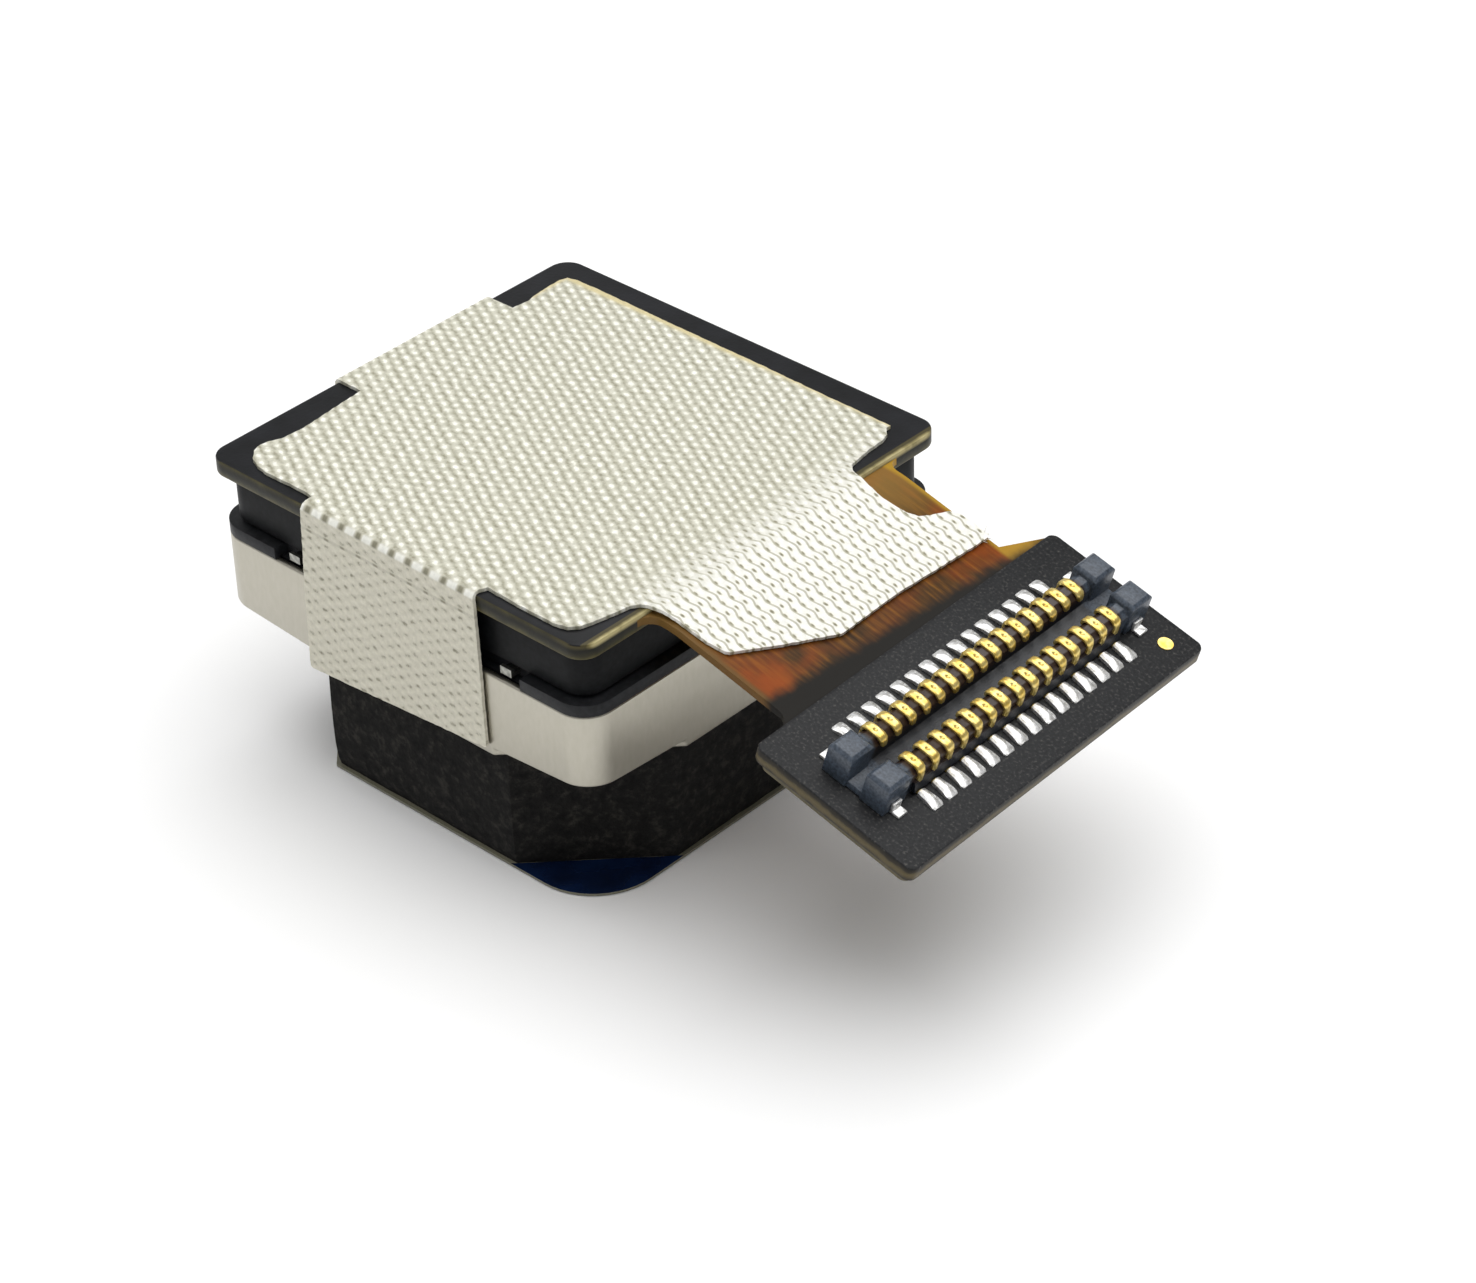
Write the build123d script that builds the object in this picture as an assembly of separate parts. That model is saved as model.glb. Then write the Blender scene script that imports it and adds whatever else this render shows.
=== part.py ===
from build123d import *
import math
import os

# Autofocus camera module, standing lens down on its foam gasket, sizes in millimetres.
# The origin is on the lens axis at the surface that the module stands on, and +Z points
# out of the back of the main board. +X runs along the flexible tail, away from the module.

# Stack of the module, from the surface that it stands on up to the back of the board
film_thickness = 0.05
foam_thickness = 2.71
can_height = 1.86
flange_thickness = 0.25
plateau_height = 0.07
holder_height = 1.00
board_thickness = 0.33
tape_thickness = 0.07

# Outlines
board_length = 9.87
board_width = 9.62
board_corner = 0.42
holder_inset = 0.21
holder_corner = 0.50
can_inset = 0.02
can_corner = 0.64
foam_inset = 0.36
foam_chamfer = 2.15

# Stamped can of the focus actuator
can_wall = 0.15
can_face_chamfer = 2.50
can_face_step = 0.16
can_corner_rise = 0.17
can_aperture = 6.50

# Actuator base
plateau_inset = 0.48
base_skirt_depth = 0.40
base_skirt_rim = 0.75
base_recess_depth = 0.14
base_aperture = 6.60
base_fit = 0.03
notch_length = 6.50
notch_depth = 0.34
stop_pad_size = 0.40
stop_clearance = 0.01
terminal_spacing = 5.60
terminal_width = 0.28
terminal_thickness = 0.08
terminal_lift = 0.08
terminal_length = 0.24
terminal_height = 0.16

# Sensor holder, image sensor and the parts on the inner side of the board
holder_pocket_length = 8.00
holder_pocket_width = 7.60
holder_pocket_depth = 0.60
holder_window_length = 5.60
holder_window_width = 4.50
filter_length = 6.50
filter_width = 5.40
filter_thickness = 0.21
filter_fit = 0.04
die_length = 6.40
die_width = 4.90
die_thickness = 0.22
wire_count = 8
wire_pitch = 0.55
wire_size = 0.03
wire_loop = 0.08
wire_landing = 0.10
wire_reach = 0.32
capacitor_count = 5
capacitor_pitch = 1.05
capacitor_length = 0.60
capacitor_width = 0.30
capacitor_height = 0.28
capacitor_end = 0.14
capacitor_end_proud = 0.015
chip_length = 1.40
chip_width = 0.60
chip_height = 0.30

# Moving lens unit and what drives it
focus_travel = 0.30
spring_thickness = 0.04
spring_frame_width = 0.45
spring_arm_width = 0.10
spring_gap = 0.20
travel_clearance = 0.06
carrier_corner = 1.60
carrier_flange_proud = 0.20
carrier_flange_height = 0.15
coil_thickness = 0.30
coil_fit = 0.02
coil_air_gap = 0.12
magnet_length = 5.00
magnet_thickness = 0.50
magnet_fit = 0.05
barrel_diameter = 6.00
barrel_fit = 0.02
barrel_nose_diameter = 5.60
barrel_nose_length = 1.60
barrel_length = 3.90
barrel_front_wall = 0.30
barrel_nose_chamfer = 0.25
barrel_rise = 0.35
front_hole_diameter = 2.60
front_cone_diameter = 4.20
retainer_height = 0.24
retainer_width = 0.50
element_fit = 0.01
mask_thickness = 0.04
mask_clearance = 0.05

# Lens elements from the subject's side: rim thickness, diameter, radius of the optical
# zone, and how far the front and rear surfaces bulge past the rim (negative is hollow)
lens_elements = [
    (0.55, 3.60, 1.20, 0.25, 0.05),
    (0.40, 3.60, 1.35, -0.08, -0.20),
    (0.50, 4.30, 1.50, 0.05, 0.08),
    (0.60, 4.30, 1.70, -0.20, 0.30),
    (0.60, 5.00, 1.90, -0.35, 0.05),
]

# Hole through the foam gasket, and the rounded corner where the film can be peeled
foam_hole = 7.20
film_overhang = 0.03
film_peel_radius = 1.40

# Flexible tail: where it leaves the board, how it bends down and how far it runs
flex_thickness = 0.15
tail_root_y = 0.05
tail_yaw = 2.0
tail_width = 6.36
tail_lead = 0.08
tail_bend_radius = 2.0
tail_droop = 17.0
tail_run = 2.61
root_fillet = 0.30
neck_fillet = 0.30
neck_flare_length = 0.38
neck_flare_width = 0.90

# Connector board at the end of the tail, its stiffener and its registration mark
connector_board_length = 8.45
connector_board_width = 3.65
connector_board_corner = 0.18
connector_board_shift = 0.01
stiffener_thickness = 0.20
stiffener_inset = 0.12
mark_diameter = 0.30
mark_thickness = 0.02
mark_from_outer_edge = 0.52
mark_from_end = 0.56

# Board-to-board plug: one row of contacts over each ridge, a block at each end of a ridge
contact_pitch = 0.40
contact_count = 15
contact_width = 0.20
contact_thickness = 0.06
ridge_spacing = 0.866
ridge_width = 0.42
ridge_height = 0.54
ridge_corner = 0.12
plug_floor = 0.14
plug_from_inner_edge = 1.80
plug_shift = 0.07
end_block_length = 0.60
end_block_width = 0.54
end_block_height = 0.68
end_block_chamfer = 0.07
contact_end_margin = 0.36
contact_foot_length = 0.40
solder_length = 0.11
tab_width = 0.24
tab_foot = 0.22
tab_rise = 0.22
tab_thickness = 0.06

# Conductive fabric tape: margins of its outline on the board, the parts folded down over
# two edges, its outline on the tail, and the rows of threads that stand proud of it
tape_gap = 0.01
tape_margin_left = 0.66
tape_margin_front = 0.27
tape_margin_back = 0.55
tape_margin_right = 0.26
tape_back_clip = 0.75
tape_corner = 0.30
front_flap_centre = 0.02
front_flap_width = 4.65
front_flap_bottom = 2.80
front_flap_slant = 0.18
side_flap_centre = 0.58
side_flap_width = 4.06
side_flap_bottom = 2.95
side_flap_slant = 0.05
fold_radius = 0.06
tape_lead = 0.14
tape_landing = 0.50
tape_end_front = 1.42
tape_end_knee = 2.44
tape_end_back = 2.56
tape_knee_y = -0.93
tape_side_front = 3.00
tape_side_back = 2.80
tape_bite_end = 1.60
tape_bite_cut = 0.12
tape_end_rise = 0.08
rib_pitch = 0.55
rib_width = 0.27
rib_height = 0.02

# Levels worked out from the stack
film_top = film_thickness
can_face = film_top + foam_thickness
can_top = can_face + can_height
flange_top = can_top + flange_thickness
holder_bottom = flange_top + plateau_height
board_bottom = holder_bottom + holder_height
board_top = board_bottom + board_thickness
face_inner = can_face + can_wall
spring_spacer_height = focus_travel + travel_clearance
front_spring_level = face_inner + spring_spacer_height
carrier_bottom = front_spring_level + spring_thickness
skirt_bottom = can_top - base_skirt_depth
carrier_top = skirt_bottom - spring_thickness
carrier_height = carrier_top - carrier_bottom
barrel_top = carrier_top + barrel_rise
barrel_bottom = barrel_top - barrel_length

# Half sizes of the nested outlines
can_half_x = board_length / 2 - can_inset
can_half_y = board_width / 2 - can_inset
inner_half_x = can_half_x - can_wall
inner_half_y = can_half_y - can_wall
board_half_x = board_length / 2
board_half_y = board_width / 2
coil_room = min(inner_half_x, inner_half_y) - magnet_fit - magnet_thickness - coil_air_gap
carrier_size = 2 * (coil_room - coil_thickness - coil_fit)

# Frame of the tail: origin on the board's edge in the middle of its thickness, X outwards
tail_root = (
    Pos(board_half_x, tail_root_y, board_top - board_thickness / 2) * Rot(0, 0, tail_yaw)
)
droop = math.radians(tail_droop)
tail_reach = tail_lead + tail_bend_radius * math.sin(droop) + tail_run * math.cos(droop)
tail_drop = tail_bend_radius * (1 - math.cos(droop)) + tail_run * math.sin(droop)

# Frame of the connector board: origin on its face above the tail's end, X outwards
connector_face = (
    tail_root * Pos(tail_reach, 0, -tail_drop) * Rot(0, tail_droop, 0)
    * Pos(0, 0, board_thickness / 2)
)


def rounded_block(half_x, half_y, corner, low, high):
    """Upright block with rounded vertical corners between two levels."""
    outline = Pos(0, 0, low) * RectangleRounded(2 * half_x, 2 * half_y, corner)
    return extrude(outline, high - low)


def octagon(half_x, half_y, leg):
    """Rectangle with its four corners cut off at 45 degrees."""
    points = []
    for sx, sy in ((1, 1), (-1, 1), (-1, -1), (1, -1)):
        near_side = (sx * (half_x - leg), sy * half_y)
        near_end = (sx * half_x, sy * (half_y - leg))
        points += [near_end, near_side] if sx * sy > 0 else [near_side, near_end]
    return make_face(Polyline(*points, close=True))


def write(name, shape):
    """Writes one node, as one solid or as a group of separate solids."""
    pieces = shape if isinstance(shape, list) else [shape]
    solids = [solid for piece in pieces for solid in piece.solids()]
    body = solids[0] if len(solids) == 1 else Compound(children=solids)
    body.label = name
    export_step(body, os.path.join("parts", name + ".step"))


def tail_curve(offset, start):
    """Side view of the tail's middle surface moved outwards by offset: its four points."""
    radius = tail_bend_radius + offset
    bend_end = (
        tail_lead + radius * math.sin(droop),
        radius * math.cos(droop) - tail_bend_radius,
    )
    far = (
        bend_end[0] + tail_run * math.cos(droop),
        bend_end[1] - tail_run * math.sin(droop),
    )
    return (start, offset), (tail_lead, offset), bend_end, far


def tail_band(low, high, start, width):
    """Sheet that follows the whole tail between two heights above its middle surface."""
    upper = tail_curve(high, start)
    lower = tail_curve(low, start)
    outline = (
        Line(upper[0], upper[1])
        + TangentArc(upper[1], upper[2], tangent=(1, 0))
        + Line(upper[2], upper[3])
        + Line(upper[3], lower[3])
        + Line(lower[3], lower[2])
        + TangentArc(lower[1], lower[2], tangent=(1, 0))
        + Line(lower[1], lower[0])
        + Line(lower[0], upper[0])
    )
    return extrude(Plane.XZ * make_face(outline.edges()), width / 2, both=True)


# Boards

def main_board():
    """Rigid board that carries the sensor on its inner side."""
    return rounded_block(board_half_x, board_half_y, board_corner, board_bottom, board_top)


def flex_outline():
    """Plan of the tail, with filleted shoulders at the module and at the connector board."""
    half = tail_width / 2
    end = 2 * board_corner
    strip = Pos(tail_reach / 2, 0) * Rectangle(tail_reach + 2 * end, tail_width)
    root_width = tail_width + 3 * root_fillet
    root = Rot(0, 0, -tail_yaw) * Pos(-end, 0) * Rectangle(2 * end, root_width)
    neck_width = tail_width + 3 * neck_fillet
    neck = Pos(tail_reach + end / 2, 0) * Rectangle(end, neck_width)
    outline = strip + root + neck
    inner = [v for v in outline.vertices() if abs(abs(v.Y) - half) < 0.001]
    root_corners = [v for v in inner if abs(v.X) < tail_reach / 2]
    outline = fillet(root_corners, root_fillet)
    inner = [v for v in outline.vertices() if abs(abs(v.Y) - half) < 0.001]
    neck_corner = [v for v in inner if abs(v.X - tail_reach) < 0.01 and v.Y < 0]
    outline = fillet(neck_corner, neck_fillet)
    flare = make_face(
        Polyline(
            (tail_reach - neck_flare_length, half),
            (tail_reach + end, half),
            (tail_reach + end, half + neck_flare_width),
            (tail_reach, half + neck_flare_width),
            close=True,
        )
    )
    return outline + flare


def flex_tail():
    """Polyimide tail between the two rigid boards, bent once where it leaves the module."""
    band = tail_band(-flex_thickness / 2, flex_thickness / 2, -board_corner, 2 * board_width)
    plan = extrude(Pos(0, 0, -board_width) * flex_outline(), 2 * board_width)
    tail = tail_root * (band & plan)
    inside = Pos(board_half_x - board_width, 0, board_top)
    return tail - inside * Box(2 * board_width, 4 * board_width, 4 * board_width)


def on_connector(shape):
    """Places a shape drawn on the connector board, whose inner edge is X = 0."""
    return connector_face * shape


def connector_outline(inset):
    """Outline of the connector board moved inwards by inset."""
    return Pos(connector_board_width / 2, connector_board_shift) * RectangleRounded(
        connector_board_width - 2 * inset,
        connector_board_length - 2 * inset,
        connector_board_corner,
    )


def connector_board():
    """Rigid end of the tail that carries the plug."""
    return on_connector(extrude(connector_outline(0), -board_thickness))


def connector_stiffener():
    """Plate bonded under the connector board to back the plug while it is pressed home."""
    outline = Pos(0, 0, -board_thickness) * connector_outline(stiffener_inset)
    return on_connector(extrude(outline, -stiffener_thickness))


def registration_mark():
    """Round gold pad that the placing machine reads, near the outer corner."""
    x = connector_board_width - mark_from_outer_edge
    y = connector_board_length / 2 + connector_board_shift - mark_from_end
    return on_connector(extrude(Pos(x, y) * Circle(mark_diameter / 2), mark_thickness))


# Plug, drawn in its own frame: X across the ridges, Y along them, Z = 0 on the board

plug_half_width = ridge_spacing / 2 + ridge_width / 2
row_length = (contact_count - 1) * contact_pitch
ridge_half_length = row_length / 2 + contact_end_margin
plug_half_length = ridge_half_length + end_block_length
block_centre_x = ridge_spacing / 2


def on_plug(shape):
    """Moves a shape from the plug's frame to its place on the connector board."""
    return on_connector(Pos(plug_from_inner_edge, plug_shift, 0) * shape)


def ridge_section(grow):
    """Section of one ridge with its two upper corners cut off, grown outwards by grow."""
    half = ridge_width / 2 + grow
    top = ridge_height + grow
    cut = ridge_corner + grow * (2 - math.sqrt(2))
    block = Pos(0, top / 2) * Rectangle(2 * half, top)
    corners = block.vertices().filter_by(lambda v: v.Y > top / 2)
    return chamfer(corners, cut)


def ridge_prism(grow, length):
    """Length of ridge along Y, centred on the plug's middle."""
    section = Plane.XZ * ridge_section(grow)
    return extrude(section, length / 2, both=True)


def plug_housing():
    """Moulded plug body: floor, two ridges with a channel between, four end blocks."""
    floor = Pos(0, 0, plug_floor / 2) * Box(
        ridge_spacing, 2 * plug_half_length - end_block_chamfer, plug_floor
    )
    body = floor
    for side in (-1, 1):
        body += Pos(side * block_centre_x, 0, 0) * ridge_prism(0, 2 * ridge_half_length)
        for end in (-1, 1):
            block = Box(end_block_width, end_block_length, end_block_height)
            upper = block.edges().group_by(Axis.Z)[-1]
            block = chamfer(upper, end_block_chamfer)
            middle = ridge_half_length + end_block_length / 2
            body += Pos(side * block_centre_x, end * middle, end_block_height / 2) * block
    return on_plug(body)


def contact(side):
    """One stamped contact: in the channel, over the ridge, down outside and out as a foot."""
    wrap = ridge_prism(contact_thickness, contact_width) - ridge_prism(0, 2 * contact_width)
    foot_start = ridge_width / 2
    foot_end = foot_start + contact_thickness + contact_foot_length
    channel_side = Pos(-ridge_width, 0, 0) * Box(
        ridge_width, 2 * contact_width, 2 * (plug_floor + contact_thickness)
    )
    foot = Box(
        foot_end - foot_start,
        contact_width,
        contact_thickness,
        align=(Align.MIN, Align.CENTER, Align.MIN),
    )
    strip = wrap - channel_side + Pos(foot_start, 0, 0) * foot
    strip = Pos(block_centre_x, 0, 0) * strip
    return strip if side > 0 else Rot(0, 0, 180) * strip


def contact_places():
    """Side and distance along the row of each contact."""
    for side in (-1, 1):
        for index in range(contact_count):
            yield side, -row_length / 2 + index * contact_pitch


def plug_contacts():
    """Two rows of identical contacts."""
    return [on_plug(Pos(0, y, 0) * contact(side)) for side, y in contact_places()]


def solder_fillets():
    """Wedge of solder at the end of each contact's foot."""
    inner = plug_half_width + contact_thickness + contact_foot_length
    profile = Plane.XZ * make_face(
        Polyline(
            (inner, 0),
            (inner + solder_length, 0),
            (inner + solder_length / 4, contact_thickness * 0.8),
            (inner, contact_thickness),
            close=True,
        )
    )
    wedge = extrude(profile, contact_width / 2, both=True)
    places = []
    for side, y in contact_places():
        turned = wedge if side > 0 else Rot(0, 0, 180) * wedge
        places.append(on_plug(Pos(0, y, 0) * turned))
    return places


def hold_down_tabs():
    """Four bent tabs that hold the end blocks down to the board."""
    tabs = []
    inner = block_centre_x + end_block_width / 2
    rise = Box(
        tab_thickness, tab_width, tab_rise, align=(Align.MIN, Align.CENTER, Align.MIN)
    )
    foot = Box(
        tab_foot, tab_width, tab_thickness, align=(Align.MIN, Align.CENTER, Align.MIN)
    )
    tab = Pos(inner, 0, 0) * (rise + foot)
    for side in (0, 180):
        for end in (-1, 1):
            place = Pos(0, end * (ridge_half_length + end_block_length / 2), 0)
            tabs.append(on_plug(place * Rot(0, 0, side) * tab))
    return tabs


# Sensor side

def sensor_holder():
    """Moulded frame between board and actuator: sensor pocket above, filter seat below."""
    body = rounded_block(
        board_half_x - holder_inset,
        board_half_y - holder_inset,
        holder_corner,
        holder_bottom,
        board_bottom,
    )
    pocket = Pos(0, 0, board_bottom - holder_pocket_depth) * extrude(
        Rectangle(holder_pocket_length, holder_pocket_width), holder_pocket_depth
    )
    seat = Pos(0, 0, holder_bottom) * extrude(
        Rectangle(filter_length + 2 * filter_fit, filter_width + 2 * filter_fit),
        filter_thickness,
    )
    window = Pos(0, 0, holder_bottom) * extrude(
        Rectangle(holder_window_length, holder_window_width), holder_height
    )
    return body - pocket - seat - window


def infrared_filter():
    """Coated glass plate bonded into the seat of the holder."""
    plate = Rectangle(filter_length, filter_width)
    return extrude(Pos(0, 0, holder_bottom) * plate, filter_thickness)


def image_sensor():
    """Silicon die bonded to the inner face of the board, looking down."""
    outline = Pos(0, 0, board_bottom) * Rectangle(die_length, die_width)
    return extrude(outline, -die_thickness)


def bond_wire():
    """One wire looping from the die's face out to a pad on the board, in the YZ plane."""
    die_face = board_bottom - die_thickness
    start = die_width / 2 - wire_landing
    outer = die_width / 2 + wire_reach
    low = die_face - wire_loop
    profile = Polyline(
        (start, die_face),
        (start, low),
        (outer - wire_loop, low),
        (outer, board_bottom),
        (outer - wire_size, board_bottom),
        (outer - wire_loop - wire_size / 2, low + wire_size),
        (start + wire_size, low + wire_size),
        (start + wire_size, die_face),
        close=True,
    )
    section = Plane.YZ * make_face(profile)
    return extrude(section, wire_size / 2, both=True)


def bond_wires():
    """A row of gold wires along each long side of the die."""
    wires = []
    for turn in (0, 180):
        for index in range(wire_count):
            x = (index - (wire_count - 1) / 2) * wire_pitch
            wires.append(Pos(x, 0, 0) * Rot(0, 0, turn) * bond_wire())
    return wires


def capacitor():
    """Ceramic chip capacitor with a plated cap at each end, hanging under the board."""
    body = Box(
        capacitor_width,
        capacitor_length,
        capacitor_height,
        align=(Align.CENTER, Align.CENTER, Align.MAX),
    )
    cap = Box(
        capacitor_width + 2 * capacitor_end_proud,
        capacitor_end,
        capacitor_height + capacitor_end_proud,
        align=(Align.CENTER, Align.CENTER, Align.MAX),
    )
    for end in (-1, 1):
        body += Pos(0, end * (capacitor_length / 2 - capacitor_end / 2), 0) * cap
    return body


def board_capacitors():
    """A column of capacitors on each side of the die."""
    x = (die_length + holder_pocket_length) / 4
    parts = []
    for side in (-1, 1):
        for index in range(capacitor_count):
            y = (index - (capacitor_count - 1) / 2) * capacitor_pitch
            parts.append(Pos(side * x, y, board_bottom) * capacitor())
    return parts


def driver_chip():
    """Focus driver on the inner face of the board, between the wires and the pocket's wall."""
    inner = die_width / 2 + wire_reach
    y = (inner + holder_pocket_width / 2) / 2
    outline = Pos(0, y, board_bottom) * Rectangle(chip_length, chip_width)
    return extrude(outline, -chip_height)


# Actuator

def actuator_base():
    """Moulded base: flange under the holder, skirt inside the can, stops for the carrier."""
    flange = rounded_block(can_half_x, can_half_y, can_corner, can_top, flange_top)
    plateau = rounded_block(
        can_half_x - plateau_inset,
        can_half_y - plateau_inset,
        holder_corner,
        flange_top,
        holder_bottom,
    )
    skirt_x = inner_half_x - base_fit
    skirt_y = inner_half_y - base_fit
    skirt_corner = can_corner - can_wall
    skirt = rounded_block(skirt_x, skirt_y, skirt_corner, skirt_bottom, can_top)
    recess_outline = octagon(skirt_x - base_skirt_rim, skirt_y - base_skirt_rim, skirt_corner)
    recess = extrude(Pos(0, 0, skirt_bottom) * recess_outline, base_recess_depth)
    notch_y = -can_half_y + notch_depth / 2
    notch = Pos(0, notch_y, (can_top + flange_top) / 2) * Box(
        notch_length, notch_depth, flange_thickness
    )
    base = flange + plateau + skirt - recess - notch
    pad = Pos(0, 0, skirt_bottom + stop_clearance) * extrude(
        Rectangle(stop_pad_size, stop_pad_size), base_recess_depth - stop_clearance
    )
    pad_place = (base_aperture + stop_pad_size) / 2
    for angle in (45, 135, 225, 315):
        base += Rot(0, 0, angle) * Pos(pad_place, 0, 0) * pad
    bore = Pos(0, 0, skirt_bottom) * extrude(
        Circle(base_aperture / 2), holder_bottom - skirt_bottom
    )
    return base - bore


def actuator_terminals():
    """Two stamped pins that leave the base in its notch and turn up towards the board."""
    wall_y = -can_half_y + notch_depth
    reach = Box(
        terminal_width,
        terminal_length,
        terminal_thickness,
        align=(Align.CENTER, Align.MAX, Align.MIN),
    )
    rise = Box(
        terminal_width,
        terminal_thickness,
        terminal_height,
        align=(Align.CENTER, Align.MIN, Align.MIN),
    )
    pin = reach + Pos(0, -terminal_length, 0) * rise
    level = can_top + terminal_lift
    return [Pos(side * terminal_spacing / 2, wall_y, level) * pin for side in (-1, 1)]


def can_form(shrink):
    """Outer form of the can moved inwards by shrink, with its four recessed face corners."""
    form = rounded_block(
        can_half_x - shrink, can_half_y - shrink, can_corner - shrink, can_face + shrink, can_top
    )
    corner_span = can_face_chamfer / math.sqrt(2)
    profile = Plane.XZ * make_face(
        Polyline(
            (-shrink, -1),
            (-shrink, can_face_step + shrink),
            (corner_span, can_face_step + can_corner_rise + shrink),
            (2 * corner_span, can_face_step + can_corner_rise + shrink),
            (2 * corner_span, -1),
            close=True,
        )
    )
    wedge = extrude(profile, 2 * can_face_chamfer, both=True)
    for sx, sy in ((1, 1), (-1, 1), (-1, -1), (1, -1)):
        middle_x = sx * (can_half_x - can_face_chamfer / 2)
        middle_y = sy * (can_half_y - can_face_chamfer / 2)
        turn = math.degrees(math.atan2(sy, sx))
        form -= Pos(middle_x, middle_y, can_face) * Rot(0, 0, turn) * wedge
    return form


def actuator_can():
    """Drawn and stamped metal can, open towards the base, with a round hole in its face."""
    hollow = can_form(can_wall)
    hole = Pos(0, 0, can_face) * extrude(Circle(can_aperture / 2), can_height)
    return can_form(0) - hollow - hole


def coil_magnets():
    """Four bar magnets round the coil, against the inside of the can."""
    bars = []
    x = inner_half_x - magnet_fit - magnet_thickness / 2
    y = inner_half_y - magnet_fit - magnet_thickness / 2
    level = (carrier_bottom + carrier_top) / 2
    for side in (-1, 1):
        along_y = Box(magnet_thickness, magnet_length, carrier_height)
        along_x = Box(magnet_length, magnet_thickness, carrier_height)
        bars.append(Pos(side * x, 0, level) * along_y)
        bars.append(Pos(0, side * y, level) * along_x)
    return bars


def spring_spacers():
    """Four plastic bars that hold the front spring off the can's face."""
    outer = octagon(inner_half_x - base_fit, inner_half_y - base_fit, can_face_chamfer)
    open_size = carrier_size + 2 * carrier_flange_proud + 2 * spring_gap
    opening = RectangleRounded(open_size, open_size, carrier_corner)
    return extrude(Pos(0, 0, face_inner) * (outer - opening), spring_spacer_height)


def spring_arm(ring_end, frame_end):
    """Folded arm between two distances from the lens axis, along X."""
    span = frame_end - ring_end
    turns = [
        (1.15, 0.0),
        (0.72, 0.0),
        (0.72, 0.38),
        (0.46, 0.38),
        (0.46, -0.60),
        (0.20, -0.60),
        (0.20, 0.0),
        (-0.15, 0.0),
    ]
    points = [(ring_end + along * span, across * span) for along, across in turns]
    return trace(Polyline(*points), line_width=spring_arm_width)


def leaf_spring(level):
    """Etched sheet: outer frame, inner ring on the carrier, and a folded arm per corner."""
    frame_x = inner_half_x - magnet_fit
    frame_y = inner_half_y - magnet_fit
    open_x = frame_x - spring_frame_width
    open_y = frame_y - spring_frame_width
    frame = octagon(frame_x, frame_y, can_corner) - octagon(open_x, open_y, can_corner)
    ring_half = carrier_size / 2 + carrier_flange_proud / 2
    ring = octagon(ring_half, ring_half, carrier_corner)
    ring -= Circle(barrel_diameter / 2 + spring_gap)
    ring_end = math.sqrt(2) * ring_half - carrier_corner / math.sqrt(2)
    frame_end = math.hypot(open_x, open_y) - can_corner / math.sqrt(2)
    arm = spring_arm(ring_end, frame_end)
    sheet = frame + ring
    corner = math.degrees(math.atan2(open_y, open_x))
    for turn in (corner, 180 - corner, 180 + corner, 360 - corner):
        sheet += Rot(0, 0, turn) * arm
    return extrude(Pos(0, 0, level) * sheet, spring_thickness)


def front_spring():
    """Leaf spring on the subject's side of the carrier."""
    return leaf_spring(front_spring_level)


def rear_spring():
    """Leaf spring on the sensor's side of the carrier."""
    return leaf_spring(carrier_top)


# Moving lens unit

def lens_carrier():
    """Moulded bobbin that holds the lens barrel and carries the coil between two flanges."""
    half = carrier_size / 2
    wide = half + carrier_flange_proud
    body = rounded_block(half, half, carrier_corner, carrier_bottom, carrier_top)
    low = rounded_block(
        wide, wide, carrier_corner, carrier_bottom, carrier_bottom + carrier_flange_height
    )
    high = rounded_block(
        wide, wide, carrier_corner, carrier_top - carrier_flange_height, carrier_top
    )
    bore = Pos(0, 0, carrier_bottom) * extrude(
        Circle(barrel_diameter / 2 + barrel_fit), carrier_height
    )
    return body + low + high - bore


def voice_coil():
    """Copper winding on the carrier, between its flanges."""
    inner = carrier_size / 2 + coil_fit
    outer = inner + coil_thickness
    low = carrier_bottom + carrier_flange_height + coil_fit
    high = carrier_top - carrier_flange_height - coil_fit
    ring = rounded_block(outer, outer, carrier_corner + coil_thickness, low, high)
    return ring - rounded_block(inner, inner, carrier_corner, low, high)


def element_levels():
    """Level of the subject's side of each element's rim, from the front wall upwards."""
    level = barrel_bottom + barrel_front_wall
    for thickness, diameter, zone, front, rear in lens_elements:
        yield level, thickness, diameter, zone, front, rear
        level += thickness + mask_thickness


def lens_barrel():
    """Turned outside, stepped inside: a seat for each element, wider towards the sensor."""
    outer = barrel_diameter / 2
    nose = barrel_nose_diameter / 2
    shell = Polyline(
        (0, barrel_bottom),
        (nose - barrel_nose_chamfer, barrel_bottom),
        (nose, barrel_bottom + barrel_nose_chamfer),
        (nose, barrel_bottom + barrel_nose_length),
        (outer, barrel_bottom + barrel_nose_length + outer - nose),
        (outer, barrel_top),
        (0, barrel_top),
        close=True,
    )
    body = revolve(Plane.XZ * make_face(shell), Axis.Z)
    for level, thickness, diameter, zone, front, rear in element_levels():
        seat = Circle(diameter / 2 + element_fit)
        body -= extrude(Pos(0, 0, level) * seat, barrel_top - level)
    cone = Pos(0, 0, barrel_bottom + barrel_front_wall / 2) * Cone(
        front_cone_diameter / 2, front_hole_diameter / 2, barrel_front_wall
    )
    return body - cone


def lens_element(level, thickness, diameter, zone, front, rear):
    """Turned plastic lens: flat rim, each optical face sloped to its middle."""
    rim = diameter / 2
    top = level + thickness
    profile = Polyline(
        (0, level - front),
        (zone, level),
        (rim, level),
        (rim, top),
        (zone, top),
        (0, top + rear),
        close=True,
    )
    return revolve(Plane.XZ * make_face(profile), Axis.Z)


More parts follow.
